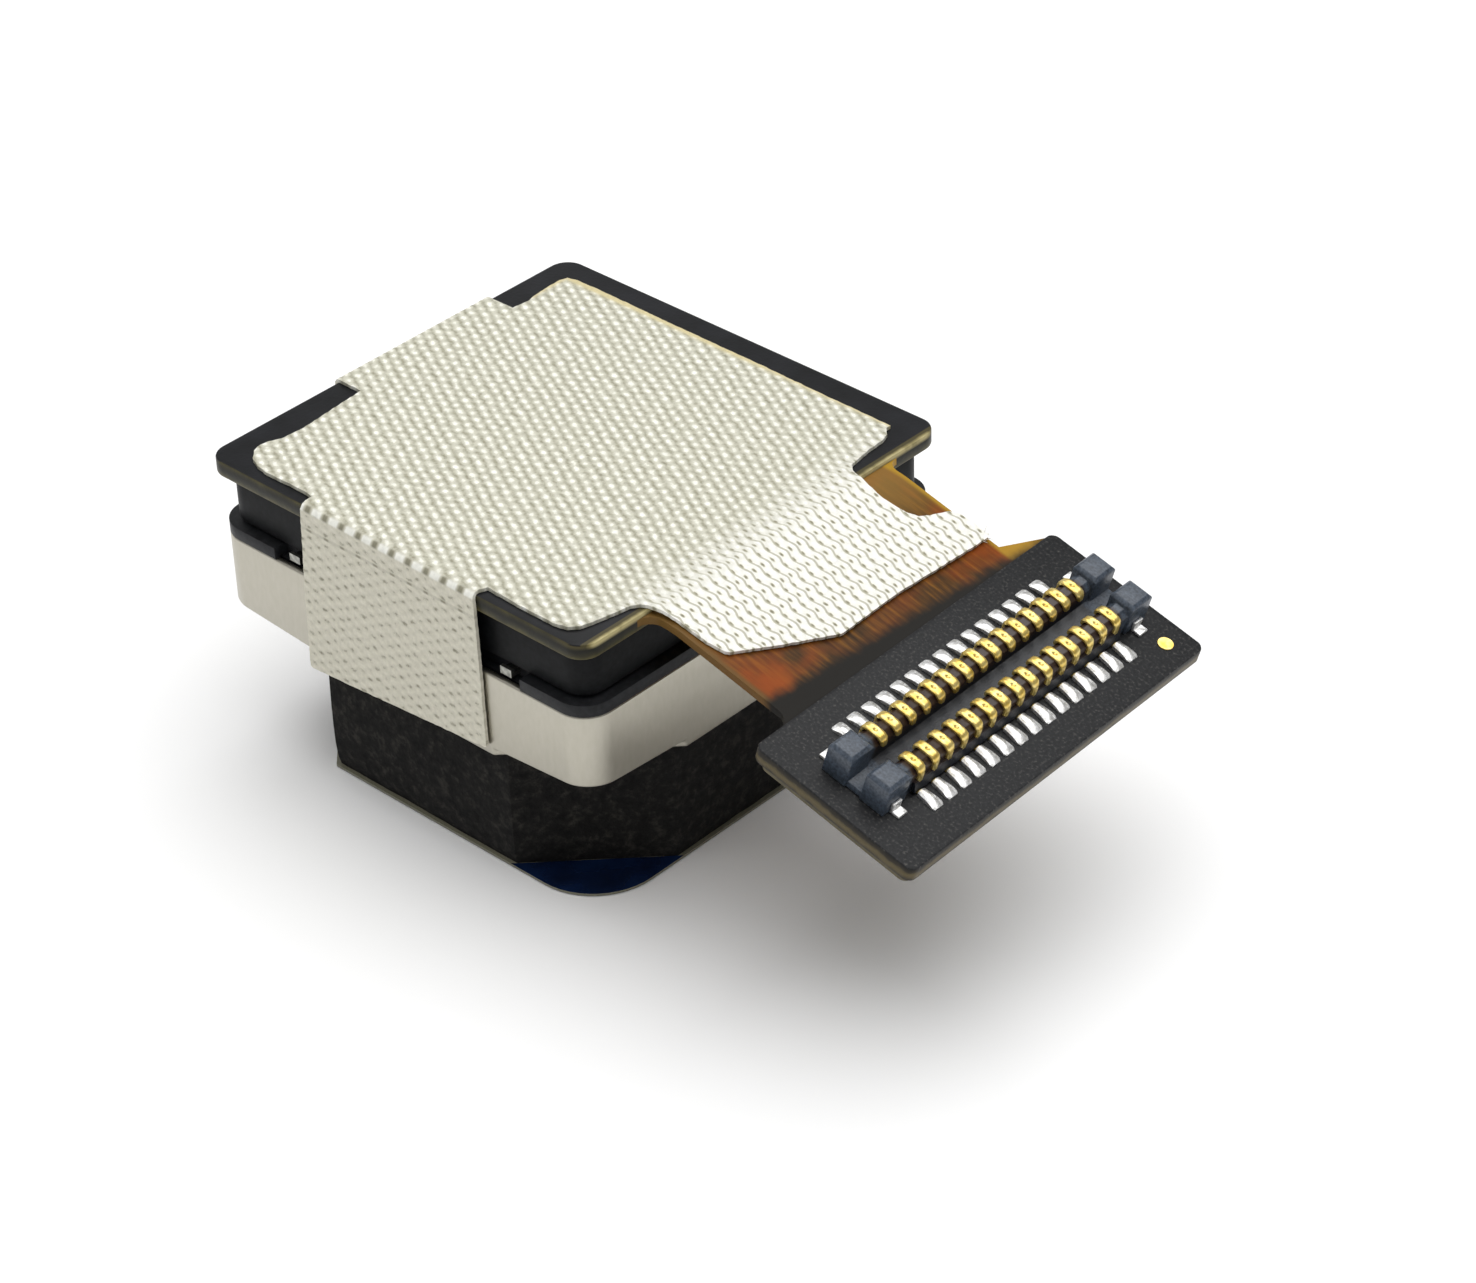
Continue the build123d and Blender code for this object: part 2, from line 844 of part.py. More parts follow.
def light_masks():
    """Thin black rings behind the first and third elements that stop stray light."""
    rings = []
    levels = list(element_levels())
    for below, above in ((levels[0], levels[1]), (levels[2], levels[3])):
        level, thickness, diameter = below[:3]
        hole = max(below[3], above[3]) + mask_clearance
        ring = Circle(diameter / 2) - Circle(hole)
        rings.append(extrude(Pos(0, 0, level + thickness) * ring, mask_thickness))
    return rings


def lens_retainer():
    """Ring pressed in behind the last element."""
    level, thickness, diameter, zone, front, rear = list(element_levels())[-1]
    ring = Circle(diameter / 2) - Circle(diameter / 2 - retainer_width)
    return extrude(Pos(0, 0, level + thickness) * ring, retainer_height)


# Gasket and film

def foam_outline():
    """Square of foam with its four corners cut off."""
    return octagon(board_half_x - foam_inset, board_half_y - foam_inset, foam_chamfer)


def foam_gasket():
    """Die-cut foam between the can's face and the phone's cover, open round the barrel."""
    ring = foam_outline() - Circle(foam_hole / 2)
    return extrude(Pos(0, 0, film_top) * ring, foam_thickness)


def release_film():
    """Blue film under the foam, cut like it but with one full rounded corner to peel by."""
    half_x = board_half_x - foam_inset + film_overhang
    half_y = board_half_y - foam_inset + film_overhang
    sheet = octagon(half_x, half_y, foam_chamfer) - Circle(foam_hole / 2)
    corner = Pos(half_x - foam_chamfer / 2, -half_y + foam_chamfer / 2) * Rectangle(
        foam_chamfer, foam_chamfer
    )
    tip = max(corner.vertices(), key=lambda vertex: vertex.X - vertex.Y)
    return extrude(sheet + fillet(tip, film_peel_radius), film_thickness)


# Tape

def board_tape_outline():
    """Part of the tape on the board, with its rear corners cut off and its others round."""
    left = -board_half_x + tape_margin_left
    front = -board_half_y + tape_margin_front
    back = board_half_y - tape_margin_back
    right = board_half_x - tape_margin_right
    clip = tape_back_clip
    sheet = make_face(
        Polyline(
            (left, front),
            (right, front),
            (right, back - 2 * clip),
            (right - clip / 2, back),
            (left + clip, back),
            (left, back - clip),
            close=True,
        )
    )
    return fillet(sheet.vertices(), tape_corner)


def tail_tape_outline():
    """Part of the tape on the tail, in the tail's frame: its end is cut on two slants."""
    return make_face(
        Polyline(
            (-board_corner, -tape_side_front),
            (tape_end_front, -tape_side_front + tape_end_rise),
            (tape_end_knee, tape_knee_y),
            (tape_end_back, tail_width / 2),
            (tape_bite_end, tail_width / 2),
            (tape_bite_end - tape_bite_cut, tail_width / 2 - tape_bite_cut),
            (-board_corner, tape_side_back),
            close=True,
        )
    )


def tape_outline():
    """Plan of the tape seen from above, without the parts that hang down."""
    tail = Pos(board_half_x, tail_root_y) * Rot(0, 0, tail_yaw) * tail_tape_outline()
    front = Pos(front_flap_centre, -board_half_y / 2) * Rectangle(
        front_flap_width, board_half_y
    )
    side = Pos(-board_half_x / 2, side_flap_centre) * Rectangle(
        board_half_x, side_flap_width
    )
    return board_tape_outline() + tail + front + side


def tape_side_view(offset):
    """Points of the tape's side view along the tail, offset from its lower surface."""
    level = board_thickness / 2 + tape_gap + offset
    height = flex_thickness / 2 + tape_gap + offset
    bend_end = tail_curve(height, 0)[2]
    slope = (math.cos(droop), -math.sin(droop))
    land = (bend_end[0] + tape_landing * slope[0], bend_end[1] + tape_landing * slope[1])
    far = (bend_end[0] + tail_run * slope[0], bend_end[1] + tail_run * slope[1])
    return [(-2 * board_half_x, level), (tape_lead + offset * droop / 2, level), land, far]


def tape_layer(low, high):
    """Sheet over the board and the tail between two heights above the tape's underside."""
    outline = tape_side_view(high) + tape_side_view(low)[::-1]
    section = Plane.XZ * make_face(Polyline(*outline, close=True))
    return tail_root * extrude(section, board_width, both=True)


def hanging_flap(low, high, half_span, bottom, slant, width):
    """Flap over the board's edge at Y = -half_span, centred on X = 0, between two heights."""
    outer = half_span + tape_gap + high
    inner = half_span + tape_gap + low
    over = half_span - tape_margin_front
    top = board_top + tape_gap + high
    under = board_top + tape_gap + low
    lowest = bottom - slant
    angle = make_face(
        Polyline(
            (-over, under),
            (-over, top),
            (-outer, top),
            (-outer, lowest),
            (-inner, lowest),
            (-inner, under),
            close=True,
        )
    )
    bend = min(angle.vertices(), key=lambda v: abs(v.X + outer) + abs(v.Y - top))
    angle = fillet(bend, fold_radius)
    flap = extrude(Plane.YZ * angle, width / 2, both=True)
    cut = make_face(
        Polyline(
            (-width, lowest - width),
            (width, lowest - width),
            (width, bottom + 2 * slant),
            (-width, bottom - 2 * slant),
            close=True,
        )
    )
    return flap - extrude(Plane.XZ * cut, 2 * half_span, both=True)


def both_flaps(low, high, inset):
    """The two hanging parts of the tape, narrower by inset on each side."""
    front = hanging_flap(
        low,
        high,
        board_half_y,
        front_flap_bottom,
        front_flap_slant,
        front_flap_width - 2 * inset,
    )
    side = hanging_flap(
        low,
        high,
        board_half_x,
        side_flap_bottom,
        side_flap_slant,
        side_flap_width - 2 * inset,
    )
    front_place = Pos(front_flap_centre, 0, 0)
    side_place = Pos(0, side_flap_centre, 0) * Rot(0, 0, -90)
    return front_place * front + side_place * side


def fabric_tape():
    """Conductive fabric over the back of the board, down two sides and over the tail."""
    plan = extrude(Pos(0, 0, can_face) * tape_outline(), 2 * board_top)
    sheet = tape_layer(0, tape_thickness) & plan
    tape = sheet + both_flaps(0, tape_thickness, 0)
    proud = tape_thickness + rib_height
    ribs = (tape_layer(0, proud) & plan) + both_flaps(0, proud, rib_width / 2)
    length = 4 * board_half_x
    count = int(board_width / rib_pitch) - 1
    comb = []
    for index in range(count):
        y = (index - (count - 1) / 2) * rib_pitch
        comb.append(Pos(board_half_x, y, board_top) * Box(length, rib_width, 4 * board_top))
    return tape + (ribs & Compound(children=comb))


if __name__ == "__main__":
    os.makedirs("parts", exist_ok=True)
    write("main_board", main_board())
    write("flex_tail", flex_tail())
    write("connector_board", connector_board())
    write("connector_stiffener", connector_stiffener())
    write("registration_mark", registration_mark())
    write("plug_housing", plug_housing())
    write("plug_contacts", plug_contacts())
    write("solder_fillets", solder_fillets())
    write("hold_down_tabs", hold_down_tabs())
    write("sensor_holder", sensor_holder())
    write("infrared_filter", infrared_filter())
    write("image_sensor", image_sensor())
    write("bond_wires", bond_wires())
    write("board_capacitors", board_capacitors())
    write("driver_chip", driver_chip())
    write("actuator_base", actuator_base())
    write("actuator_terminals", actuator_terminals())
    write("actuator_can", actuator_can())
    write("coil_magnets", coil_magnets())
    write("spring_spacers", spring_spacers())
    write("front_spring", front_spring())
    write("rear_spring", rear_spring())
    write("lens_carrier", lens_carrier())
    write("voice_coil", voice_coil())
    write("lens_barrel", lens_barrel())
    for number, values in enumerate(element_levels(), 1):
        write(f"lens_element_{number}", lens_element(*values))
    write("light_masks", light_masks())
    write("lens_retainer", lens_retainer())
    write("foam_gasket", foam_gasket())
    write("release_film", release_film())
    write("fabric_tape", fabric_tape())
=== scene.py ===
import random
from math import cos, exp, pi, radians, sin, tan, tau

import bmesh
import bpy
from mathutils import Matrix, Vector, kdtree, noise
from mathutils.geometry import area_tri, delaunay_2d_cdt


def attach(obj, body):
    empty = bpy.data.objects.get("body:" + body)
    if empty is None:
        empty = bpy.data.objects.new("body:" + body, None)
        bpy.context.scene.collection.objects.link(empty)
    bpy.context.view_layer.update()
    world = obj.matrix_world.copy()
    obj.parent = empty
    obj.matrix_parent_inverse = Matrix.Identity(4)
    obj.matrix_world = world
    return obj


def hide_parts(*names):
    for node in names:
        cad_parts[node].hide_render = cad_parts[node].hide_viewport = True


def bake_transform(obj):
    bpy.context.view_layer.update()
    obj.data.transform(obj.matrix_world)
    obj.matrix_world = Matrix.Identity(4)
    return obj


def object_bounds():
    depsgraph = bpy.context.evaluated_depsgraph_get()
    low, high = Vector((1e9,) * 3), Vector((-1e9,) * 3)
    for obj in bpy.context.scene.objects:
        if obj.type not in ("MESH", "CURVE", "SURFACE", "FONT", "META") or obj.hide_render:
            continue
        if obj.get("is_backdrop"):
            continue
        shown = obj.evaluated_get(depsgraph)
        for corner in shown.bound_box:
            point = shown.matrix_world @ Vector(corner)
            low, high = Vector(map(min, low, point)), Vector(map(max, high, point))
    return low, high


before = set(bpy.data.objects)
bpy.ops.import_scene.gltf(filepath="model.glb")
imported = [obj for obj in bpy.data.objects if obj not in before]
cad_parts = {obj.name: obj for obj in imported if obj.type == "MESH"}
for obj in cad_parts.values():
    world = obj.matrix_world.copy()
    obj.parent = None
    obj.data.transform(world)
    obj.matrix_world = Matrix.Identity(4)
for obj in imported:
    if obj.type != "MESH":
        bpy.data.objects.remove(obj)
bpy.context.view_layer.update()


# Camera. It stands where the photograph was taken from, close above one corner of the
# module, with a long lens and a slight tilt.

MM = 0.001
azimuth = radians(43.885)
elevation = radians(35.022)
roll = radians(-2.03)
aim = Vector((6.813, -2.831, 6.27)) * MM
distance = 74.33 * MM


def new_object(name, data):
    """Object in the scene for a mesh, a light or a camera."""
    made = bpy.data.objects.new(name, data)
    bpy.context.scene.collection.objects.link(made)
    return made


camera = new_object("camera", bpy.data.cameras.new("camera"))
camera.data.lens = 103.9
camera.data.sensor_width = 36
camera.data.clip_start = 0.002
camera.data.clip_end = 5
backward = Vector((sin(azimuth) * cos(elevation), -cos(azimuth) * cos(elevation), sin(elevation)))
level_right = Vector((cos(azimuth), sin(azimuth), 0))
level_up = backward.cross(level_right)
right = level_right * cos(roll) + level_up * sin(roll)
up = level_up * cos(roll) - level_right * sin(roll)
turned = Matrix((right, up, backward)).transposed().to_4x4()
camera.matrix_world = Matrix.Translation(aim + backward * distance) @ turned
bpy.context.scene.camera = camera
bpy.context.scene.view_settings.view_transform = "Standard"


# Studio. A white table under a large soft light nearly overhead, in a pale room that is a
# little brighter on the left, where the flap and the can's near side face.

floor_drop = 0.02 * MM
floor_half = 400 * MM


def linear(code):
    """Linear colour of an sRGB hex value."""
    parts = [int(code[i:i + 2], 16) / 255 for i in (1, 3, 5)]
    return [c / 12.92 if c <= 0.04045 else ((c + 0.055) / 1.055) ** 2.4 for c in parts] + [1]


def add(tree, kind, inputs=(), out=0, **settings):
    """Adds one node and gives one of its outputs, or all of them where out is None.

    Inputs come as a list in the node's order or as a dict. Each is a value, a hex colour
    or the output that feeds it. Stops are the places and hex colours of a colour ramp.
    """
    prefix = "" if kind.startswith(("Geometry", "NodeGroup")) else "ShaderNode"
    made = tree.nodes.new(prefix + kind)
    for name, value in settings.items():
        if name == "stops":
            ramp = made.color_ramp.elements
            stops = [(position, linear(code)) for position, code in value.items()]
            ramp[0].position, ramp[0].color = stops[0]
            ramp[1].position, ramp[1].color = stops[-1]
            for position, color in stops[1:-1]:
                ramp.new(position).color = color
        else:
            setattr(made, name, value)
    for name, value in inputs.items() if isinstance(inputs, dict) else enumerate(inputs):
        if isinstance(value, bpy.types.NodeSocket):
            tree.links.new(value, made.inputs[name])
        else:
            made.inputs[name].default_value = linear(value) if isinstance(value, str) else value
    return made.outputs if out is None else made.outputs[out]


def cleared_tree(owner):
    """Node tree of a material or a world, emptied."""
    owner.use_nodes = True
    owner.node_tree.nodes.clear()
    return owner.node_tree


world = bpy.data.worlds.new("pale_room")
bpy.context.scene.world = world
tree = cleared_tree(world)
direction = add(tree, "TexCoord", out="Generated")
leftward = add(tree, "VectorMath", [direction, (-0.75, -0.6, 0.1)], "Value", operation="DOT_PRODUCT")
room_level = add(tree, "MapRange", [leftward, -0.9, 0.8, 0.18, 0.46], interpolation_type="SMOOTHSTEP")
room = add(tree, "Background", {"Color": "#FFFFFF", "Strength": room_level})
add(tree, "OutputWorld", {"Surface": room}, None)

lamp = bpy.data.lights.new("soft_key", "SUN")
lamp.energy = 2.7
lamp.angle = radians(76)
key = new_object("soft_key", lamp)
key.rotation_euler = Vector((0.05, 0.24, 1.0)).to_track_quat("Z", "Y").to_euler()

table_mesh = bpy.data.meshes.new("table")
table_mesh.from_pydata(
    [(x * floor_half, y * floor_half, -floor_drop) for x, y in ((-1, -1), (1, -1), (1, 1), (-1, 1))],
    [],
    [(0, 1, 2, 3)],
)
table = new_object("table", table_mesh)
white = bpy.data.materials.new("white_table")
tree = cleared_tree(white)
rays = add(tree, "LightPath", out=None)
seen = add(tree, "Math", [rays["Is Camera Ray"], rays["Is Glossy Ray"]], operation="MAXIMUM")
seen = add(tree, "Math", [seen, rays["Is Transmission Ray"]], operation="MAXIMUM")
lift = add(tree, "Math", [seen, 0.03], operation="MULTIPLY")
paint = add(tree, "BsdfDiffuse", {"Color": (0.95, 0.95, 0.95, 1)})
glow = add(tree, "Emission", {"Strength": lift})
both = add(tree, "AddShader", [paint, glow])
add(tree, "OutputMaterial", {"Surface": both}, None)
table_mesh.materials.append(white)
table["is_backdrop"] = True


# Main board. A rigid laminate of glass cloth and resin with black solder mask on its back.
# The mask stops short of the edge that the tail leaves by, and olive laminate shows there;
# it is painted lighter towards that edge and the corners beside it, as a highlight.

board_half_x = 4.935
board_half_y = 4.81
board_top = 6.27
mask_setback = 0.15
mask_edge = board_half_x - mask_setback
side_setback = 0.015
mask_depth = 0.03


def begin_material(name, **values):
    """New material, its node tree, its shader with the given constants, and its coordinates."""
    made = bpy.data.materials.new(name)
    tree = cleared_tree(made)
    surface = add(tree, "BsdfPrincipled", {word.replace("_", " "): values[word] for word in values})
    add(tree, "OutputMaterial", {"Surface": surface}, None)
    return made, tree, surface.node, add(tree, "TexCoord", out="Object")


def end_material(shader, color, height=None, strength=0.5, depth=0.01):
    """Feeds a colour to the shader, and a bump from a height field with its depth in mm."""
    tree = shader.id_data
    tree.links.new(color, shader.inputs["Base Color"])
    if height is not None:
        bump = add(tree, "Bump", {"Strength": strength, "Distance": depth * MM, "Height": height})
        tree.links.new(bump, shader.inputs["Normal"])


def cloudy(tree, at, size, stops, detail=4.0, roughness=0.5):
    """Noise with grains of a size in mm, and the colour that it picks from the stops."""
    field = add(
        tree, "TexNoise", {"Vector": at, "Scale": 1 / (size * MM), "Detail": detail, "Roughness": roughness}
    )
    return field, add(tree, "ValToRGB", [field], stops=stops)


def ply_lines(tree, at, stops):
    """Colour of the glass plies in a milled edge, a dark and a light band each 0.4 mm."""
    bands = add(
        tree, "TexWave",
        {"Vector": at, "Scale": 1 / (1.3 * MM), "Distortion": 1.2, "Detail": 3.0, "Detail Scale": 4.0},
        1, wave_type="BANDS", bands_direction="Z",
    )
    return add(tree, "ValToRGB", [bands], stops=stops)


def smooth(mesh, degrees):
    """Shades a mesh smooth but for the edges that are sharper than an angle."""
    mesh.shade_smooth()
    mesh.set_sharp_from_angle(angle=radians(degrees))
    return mesh


def edged_copy(node, name, width, segments=2):
    """Copy of a CAD node with its flat faces whole again and its edges rounded by width."""
    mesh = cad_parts[node].data.copy()
    mesh.name = name
    loose = bmesh.new()
    loose.from_mesh(mesh)
    bmesh.ops.remove_doubles(loose, verts=loose.verts, dist=0.0004 * MM)
    bmesh.ops.dissolve_limit(loose, angle_limit=radians(1), verts=loose.verts, edges=loose.edges)
    loose.to_mesh(mesh)
    loose.free()
    piece = new_object(name, mesh)
    bevel = piece.modifiers.new("edges", "BEVEL")
    bevel.width = width * MM
    bevel.segments = segments
    bevel.angle_limit = radians(35)
    plain = bpy.data.meshes.new_from_object(piece.evaluated_get(bpy.context.evaluated_depsgraph_get()))
    piece.modifiers.remove(bevel)
    piece.data = smooth(plain, 32)
    return piece


def dress(piece, finish):
    """Gives every face of a piece one material."""
    piece.data.materials.clear()
    piece.data.materials.append(finish)


black_mask, tree, shader, here = begin_material(
    "black_solder_mask_on_laminate", Roughness=0.4, Specular_IOR_Level=0.2
)
place = add(tree, "SeparateXYZ", [here], None)
side_reach = add(tree, "Math", [place[1]], operation="ABSOLUTE")
past_x = add(tree, "Math", [place[0], mask_edge * MM], operation="SUBTRACT")
past_y = add(tree, "Math", [side_reach, (board_half_y - side_setback) * MM], operation="SUBTRACT")
past = add(tree, "Math", [past_x, past_y], operation="MAXIMUM")
below = add(tree, "Math", [(board_top - mask_depth) * MM, place[2]], operation="SUBTRACT")
bare = add(tree, "Math", [past, below], operation="MAXIMUM")
bare = add(tree, "MapRange", [bare, -0.01 * MM, 0.01 * MM])
_, mask_color = cloudy(tree, here, 0.7, {0.3: "#0E0F11", 0.7: "#1B1C20"})
ply_color = ply_lines(tree, here, {0.0: "#1C1B12", 0.5: "#35321F", 1.0: "#56502F"})
# Painted highlight: the bare rim grows lighter towards the outer edge in noisy streaks, and near the tail's
# end of the board the top of the milled edge takes this lighter colour too.
rim_glint_streaks = add(tree, "TexNoise", {"Vector": here, "Scale": 1 / (0.30 * MM), "Detail": 3.0})
rim_glint_streaks = add(tree, "Math", [rim_glint_streaks, 0.9, 0.45], operation="MULTIPLY_ADD")
toward_rim_highlight = add(tree, "MapRange", [place[0], mask_edge * MM, board_half_x * MM, 0.0, rim_glint_streaks], clamp=False)
rim_laminate_and_highlight = add(tree, "ValToRGB", [toward_rim_highlight], stops={0.40: "#4A4328", 0.62: "#857A4E", 0.85: "#B9AD7E"})
on_top = add(tree, "MapRange", [place[2], (board_top - 0.12) * MM, (board_top - 0.05) * MM])
highlit_toward_tail = add(tree, "MapRange", [place[0], 4.0 * MM, 4.7 * MM, 0.12, 1.0])
on_top = add(tree, "Math", [on_top, highlit_toward_tail], operation="MULTIPLY")
bare_color = add(tree, "Mix", {0: on_top, 6: ply_color, 7: rim_laminate_and_highlight}, 2, data_type="RGBA")
board_color = add(tree, "Mix", {0: bare, 6: mask_color, 7: bare_color}, 2, data_type="RGBA")
grain = add(tree, "TexNoise", {"Vector": here, "Scale": 1 / (0.09 * MM), "Detail": 3.0})
end_material(shader, board_color, grain, 0.35)

board = edged_copy("main_board", "board_edged", 0.035)
dress(board, black_mask)
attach(board, "module")
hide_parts("main_board")


# Flexible tail. Etched copper traces between two amber polyimide films; the traces show
# through as brown and orange streaks along it, and the bare film at its edges is yellow. The
# far edge is painted lighter, as a highlight, and the near edge darker, as shade. The
# black mask of the connector board ends raggedly on it.

root_x, root_y, root_z = 4.935, 0.05, 6.105
tail_yaw = radians(2)
tail_droop = radians(17)
tail_half_width = 3.18
apron_reach = 2.93

tail_film, tree, shader, here = begin_material(
    "polyimide_film_over_traces", Roughness=0.42, Specular_IOR_Level=0.12
)
in_tail = add(
    tree,
    "Mapping",
    {"Vector": here, "Location": (root_x * MM, root_y * MM, 0), "Rotation": (0, 0, tail_yaw)},
    vector_type="TEXTURE",
)
place = add(tree, "SeparateXYZ", [in_tail], None)
stretched = add(tree, "VectorMath", [in_tail, (0.10, 1.0, 0.2)], operation="MULTIPLY")
streaks, streak_color = cloudy(
    tree, stretched, 0.09, {0.30: "#33200A", 0.5: "#503413", 0.72: "#7C5119"}, detail=5.0
)
side_reach = add(tree, "Math", [place[1]], operation="ABSOLUTE")
toward_edge = add(
    tree, "MapRange", [side_reach, 0.4 * MM, 2.2 * MM, 0.25, 0.80], interpolation_type="SMOOTHSTEP"
)
patches = add(tree, "TexNoise", {"Vector": in_tail, "Scale": 1 / (1.1 * MM), "Detail": 3.0})
patches = add(tree, "MapRange", [patches, 0.42, 0.66, 0.0, toward_edge])
patchy = add(tree, "Mix", {0: patches, 6: streak_color, 7: "#99460F"}, 2, data_type="RGBA")
near_root = add(
    tree, "MapRange", [place[0], 0.4 * MM, 2.0 * MM, 0.75, 0.0], interpolation_type="SMOOTHSTEP"
)
patchy = add(tree, "Mix", {0: near_root, 6: patchy, 7: "#8E6C34"}, 2, data_type="RGBA")
edge = add(
    tree,
    "MapRange",
    [side_reach, (tail_half_width - 0.14) * MM, (tail_half_width - 0.02) * MM, 0.0, 0.85],
    interpolation_type="SMOOTHSTEP",
)
# Painted light: the edge is darker on the near side and lighter on the far side.
far_edge_lit = add(tree, "MapRange", [place[1], -1 * MM, 1 * MM])
yellow_edge_lit_and_shaded = add(tree, "Mix", {0: far_edge_lit, 6: "#6B5129", 7: "#B08A2A"}, 2, data_type="RGBA")
film_color = add(tree, "Mix", {0: edge, 6: patchy, 7: yellow_edge_lit_and_shaded}, 2, data_type="RGBA")
apron_start = add(tree, "Math", [place[1], -0.075, place[0]], operation="MULTIPLY_ADD")
ragged = add(tree, "TexNoise", {"Vector": in_tail, "Scale": 1 / (0.35 * MM), "Detail": 4.0})
apron_start = add(tree, "Math", [ragged, 0.22 * MM, apron_start], operation="MULTIPLY_ADD")
apron = add(
    tree,
    "MapRange",
    [apron_start, (apron_reach - 0.14) * MM, (apron_reach + 0.16) * MM],
    interpolation_type="SMOOTHSTEP",
)
film_color = add(tree, "Mix", {0: apron, 6: film_color, 7: "#17140F"}, 2, data_type="RGBA")
end_material(shader, film_color, streaks, 0.4, 0.012)

tail = edged_copy("flex_tail", "tail_edged", 0.03)
dress(tail, tail_film)
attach(tail, "module")
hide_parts("flex_tail")


# Connector board and its stiffener. The tail's rigid end: the same laminate, black mask right
# up to the milled edge, and a plate of bare laminate bonded underneath.

run_reach = 3.161
run_drop = 0.850
end_board_top = 0.165
plug_at = Matrix.Translation(Vector((root_x, root_y, root_z)) * MM)
plug_at = plug_at @ Matrix.Rotation(tail_yaw, 4, "Z")
plug_at = plug_at @ Matrix.Translation(Vector((run_reach, 0, -run_drop)) * MM)
plug_at = plug_at @ Matrix.Rotation(tail_droop, 4, "Y")
plug_at = plug_at @ Matrix.Translation(Vector((0, 0, end_board_top)) * MM)


def on_end_board(tree, here):
    """Object coordinates from the middle of the tail's end, level with the board's top."""
    return add(
        tree,
        "Mapping",
        {"Vector": here, "Location": plug_at.translation, "Rotation": plug_at.to_euler()},
        vector_type="TEXTURE",
    )


# Handling has scuffed this mask: grey specks of resin show in the black.
end_mask, tree, shader, here = begin_material(
    "black_solder_mask_scuffed", Roughness=0.42, Specular_IOR_Level=0.22
)
on_end = on_end_board(tree, here)
place = add(tree, "SeparateXYZ", [on_end], None)
speckle, mask_color = cloudy(tree, on_end, 0.06, {0.35: "#0B0C0E", 0.56: "#1A1B1D", 0.76: "#4C4A47"})
side = add(tree, "MapRange", [place[2], -0.05 * MM, -0.02 * MM, 1.0, 0.0])
outer = add(tree, "Math", [place[0], 0.06 * MM], operation="GREATER_THAN")
side = add(tree, "Math", [side, outer], operation="MULTIPLY")
ply_color = ply_lines(tree, on_end, {0.0: "#16130D", 0.6: "#2C261A", 1.0: "#5A4F32"})
end_color = add(tree, "Mix", {0: side, 6: mask_color, 7: ply_color}, 2, data_type="RGBA")
end_material(shader, end_color, speckle, 0.5, 0.012)

end_board = edged_copy("connector_board", "connector_board_edged", 0.035)
dress(end_board, end_mask)
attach(end_board, "module")
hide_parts("connector_board")


def mottled(name, dark, light, grain, depth=None, **values):
    """Material whose colour drifts between two values, with a bump of the same grain in mm."""
    made, tree, shader, here = begin_material(name, **values)
    field, color = cloudy(tree, here, grain, {0.32: dark, 0.68: light})
    end_material(shader, color, field if depth else None, 0.5, depth)
    return made


stiffener_laminate = mottled("bare_glass_laminate", "#4A4329", "#5F5638", 0.12, 0.006, Roughness=0.55)
plate = edged_copy("connector_stiffener", "stiffener_edged", 0.02)
dress(plate, stiffener_laminate)
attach(plate, "module")
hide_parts("connector_stiffener")


# Registration mark. A round copper pad left bare of mask and plated with gold, by which the
# placing machine finds the board.

gold = mottled("gold_over_nickel", "#E0BC55", "#FBE596", 0.12, Metallic=0.75, Roughness=0.28)
dress(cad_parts["registration_mark"], gold)


# Plug housing. Moulded in black glass-filled nylon in one shot: a floor, two ridges that hold
# the contacts, and a taller block at each end of a ridge that guides it into the socket. A low
# lip along each row keeps the solder off the contacts' tops.

plug_middle_x = 1.80
plug_middle_y = 0.07
row_half = 3.0
lip_inner = 0.60
lip_outer = 0.745
lip_draft = 0.05
lip_length = 5.9
lip_foot = 0.075
lip_top = 0.29

# Painted sheen: the black is made a light blue-grey to stand in for the glossy reflection of its
# moulded faces; the glass fibres under the skin give its mottle and bump.
housing_nylon, tree, shader, here = begin_material("black_glass_filled_nylon", Roughness=0.34)
fibres, nylon_and_painted_sheen = cloudy(tree, here, 0.05, {0.3: "#2C333C", 0.7: "#505A67"})
place = add(tree, "SeparateXYZ", [on_end_board(tree, here)], None)
from_middle = add(tree, "Math", [place[1], plug_middle_y * MM], operation="SUBTRACT")
from_middle = add(tree, "Math", [from_middle], operation="ABSOLUTE")
# Painted shade: along the rows the walls and channel are darker; the ridge tops are brown.
at_rows = add(
    tree,
    "MapRange",
    [from_middle, (row_half - 0.05) * MM, (row_half + 0.05) * MM, 1.0, 0.0],
    interpolation_type="SMOOTHSTEP",
)
on_ridge = add(tree, "MapRange", [place[2], 0.24 * MM, 0.34 * MM])
row_shade_and_brown_ridge = add(tree, "Mix", {0: on_ridge, 6: "#1E2127", 7: "#33241E"}, 2, data_type="RGBA")
nylon_and_painted_sheen = add(tree, "Mix", {0: at_rows, 6: nylon_and_painted_sheen, 7: row_shade_and_brown_ridge}, 2, data_type="RGBA")
end_material(shader, nylon_and_painted_sheen, fibres)

housing = edged_copy("plug_housing", "housing_edged", 0.03)
lips = bmesh.new()
lips.from_mesh(housing.data)
for side in (-1, 1):
    lip = bmesh.ops.create_cube(lips, size=1)["verts"]
    for vertex in lip:
        inward = vertex.co.x * side < 0
        high = vertex.co.z > 0
        vertex.co.x = plug_middle_x + side * (lip_inner if inward else lip_outer - lip_draft * high)
        vertex.co.y = plug_middle_y + vertex.co.y * lip_length
        vertex.co.z = lip_top if high else lip_foot
        vertex.co *= MM
    bmesh.ops.transform(lips, matrix=plug_at, verts=lip)
lips.to_mesh(housing.data)
lips.free()
smooth(housing.data, 32)
dress(housing, housing_nylon)
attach(housing, "module")
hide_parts("plug_housing")


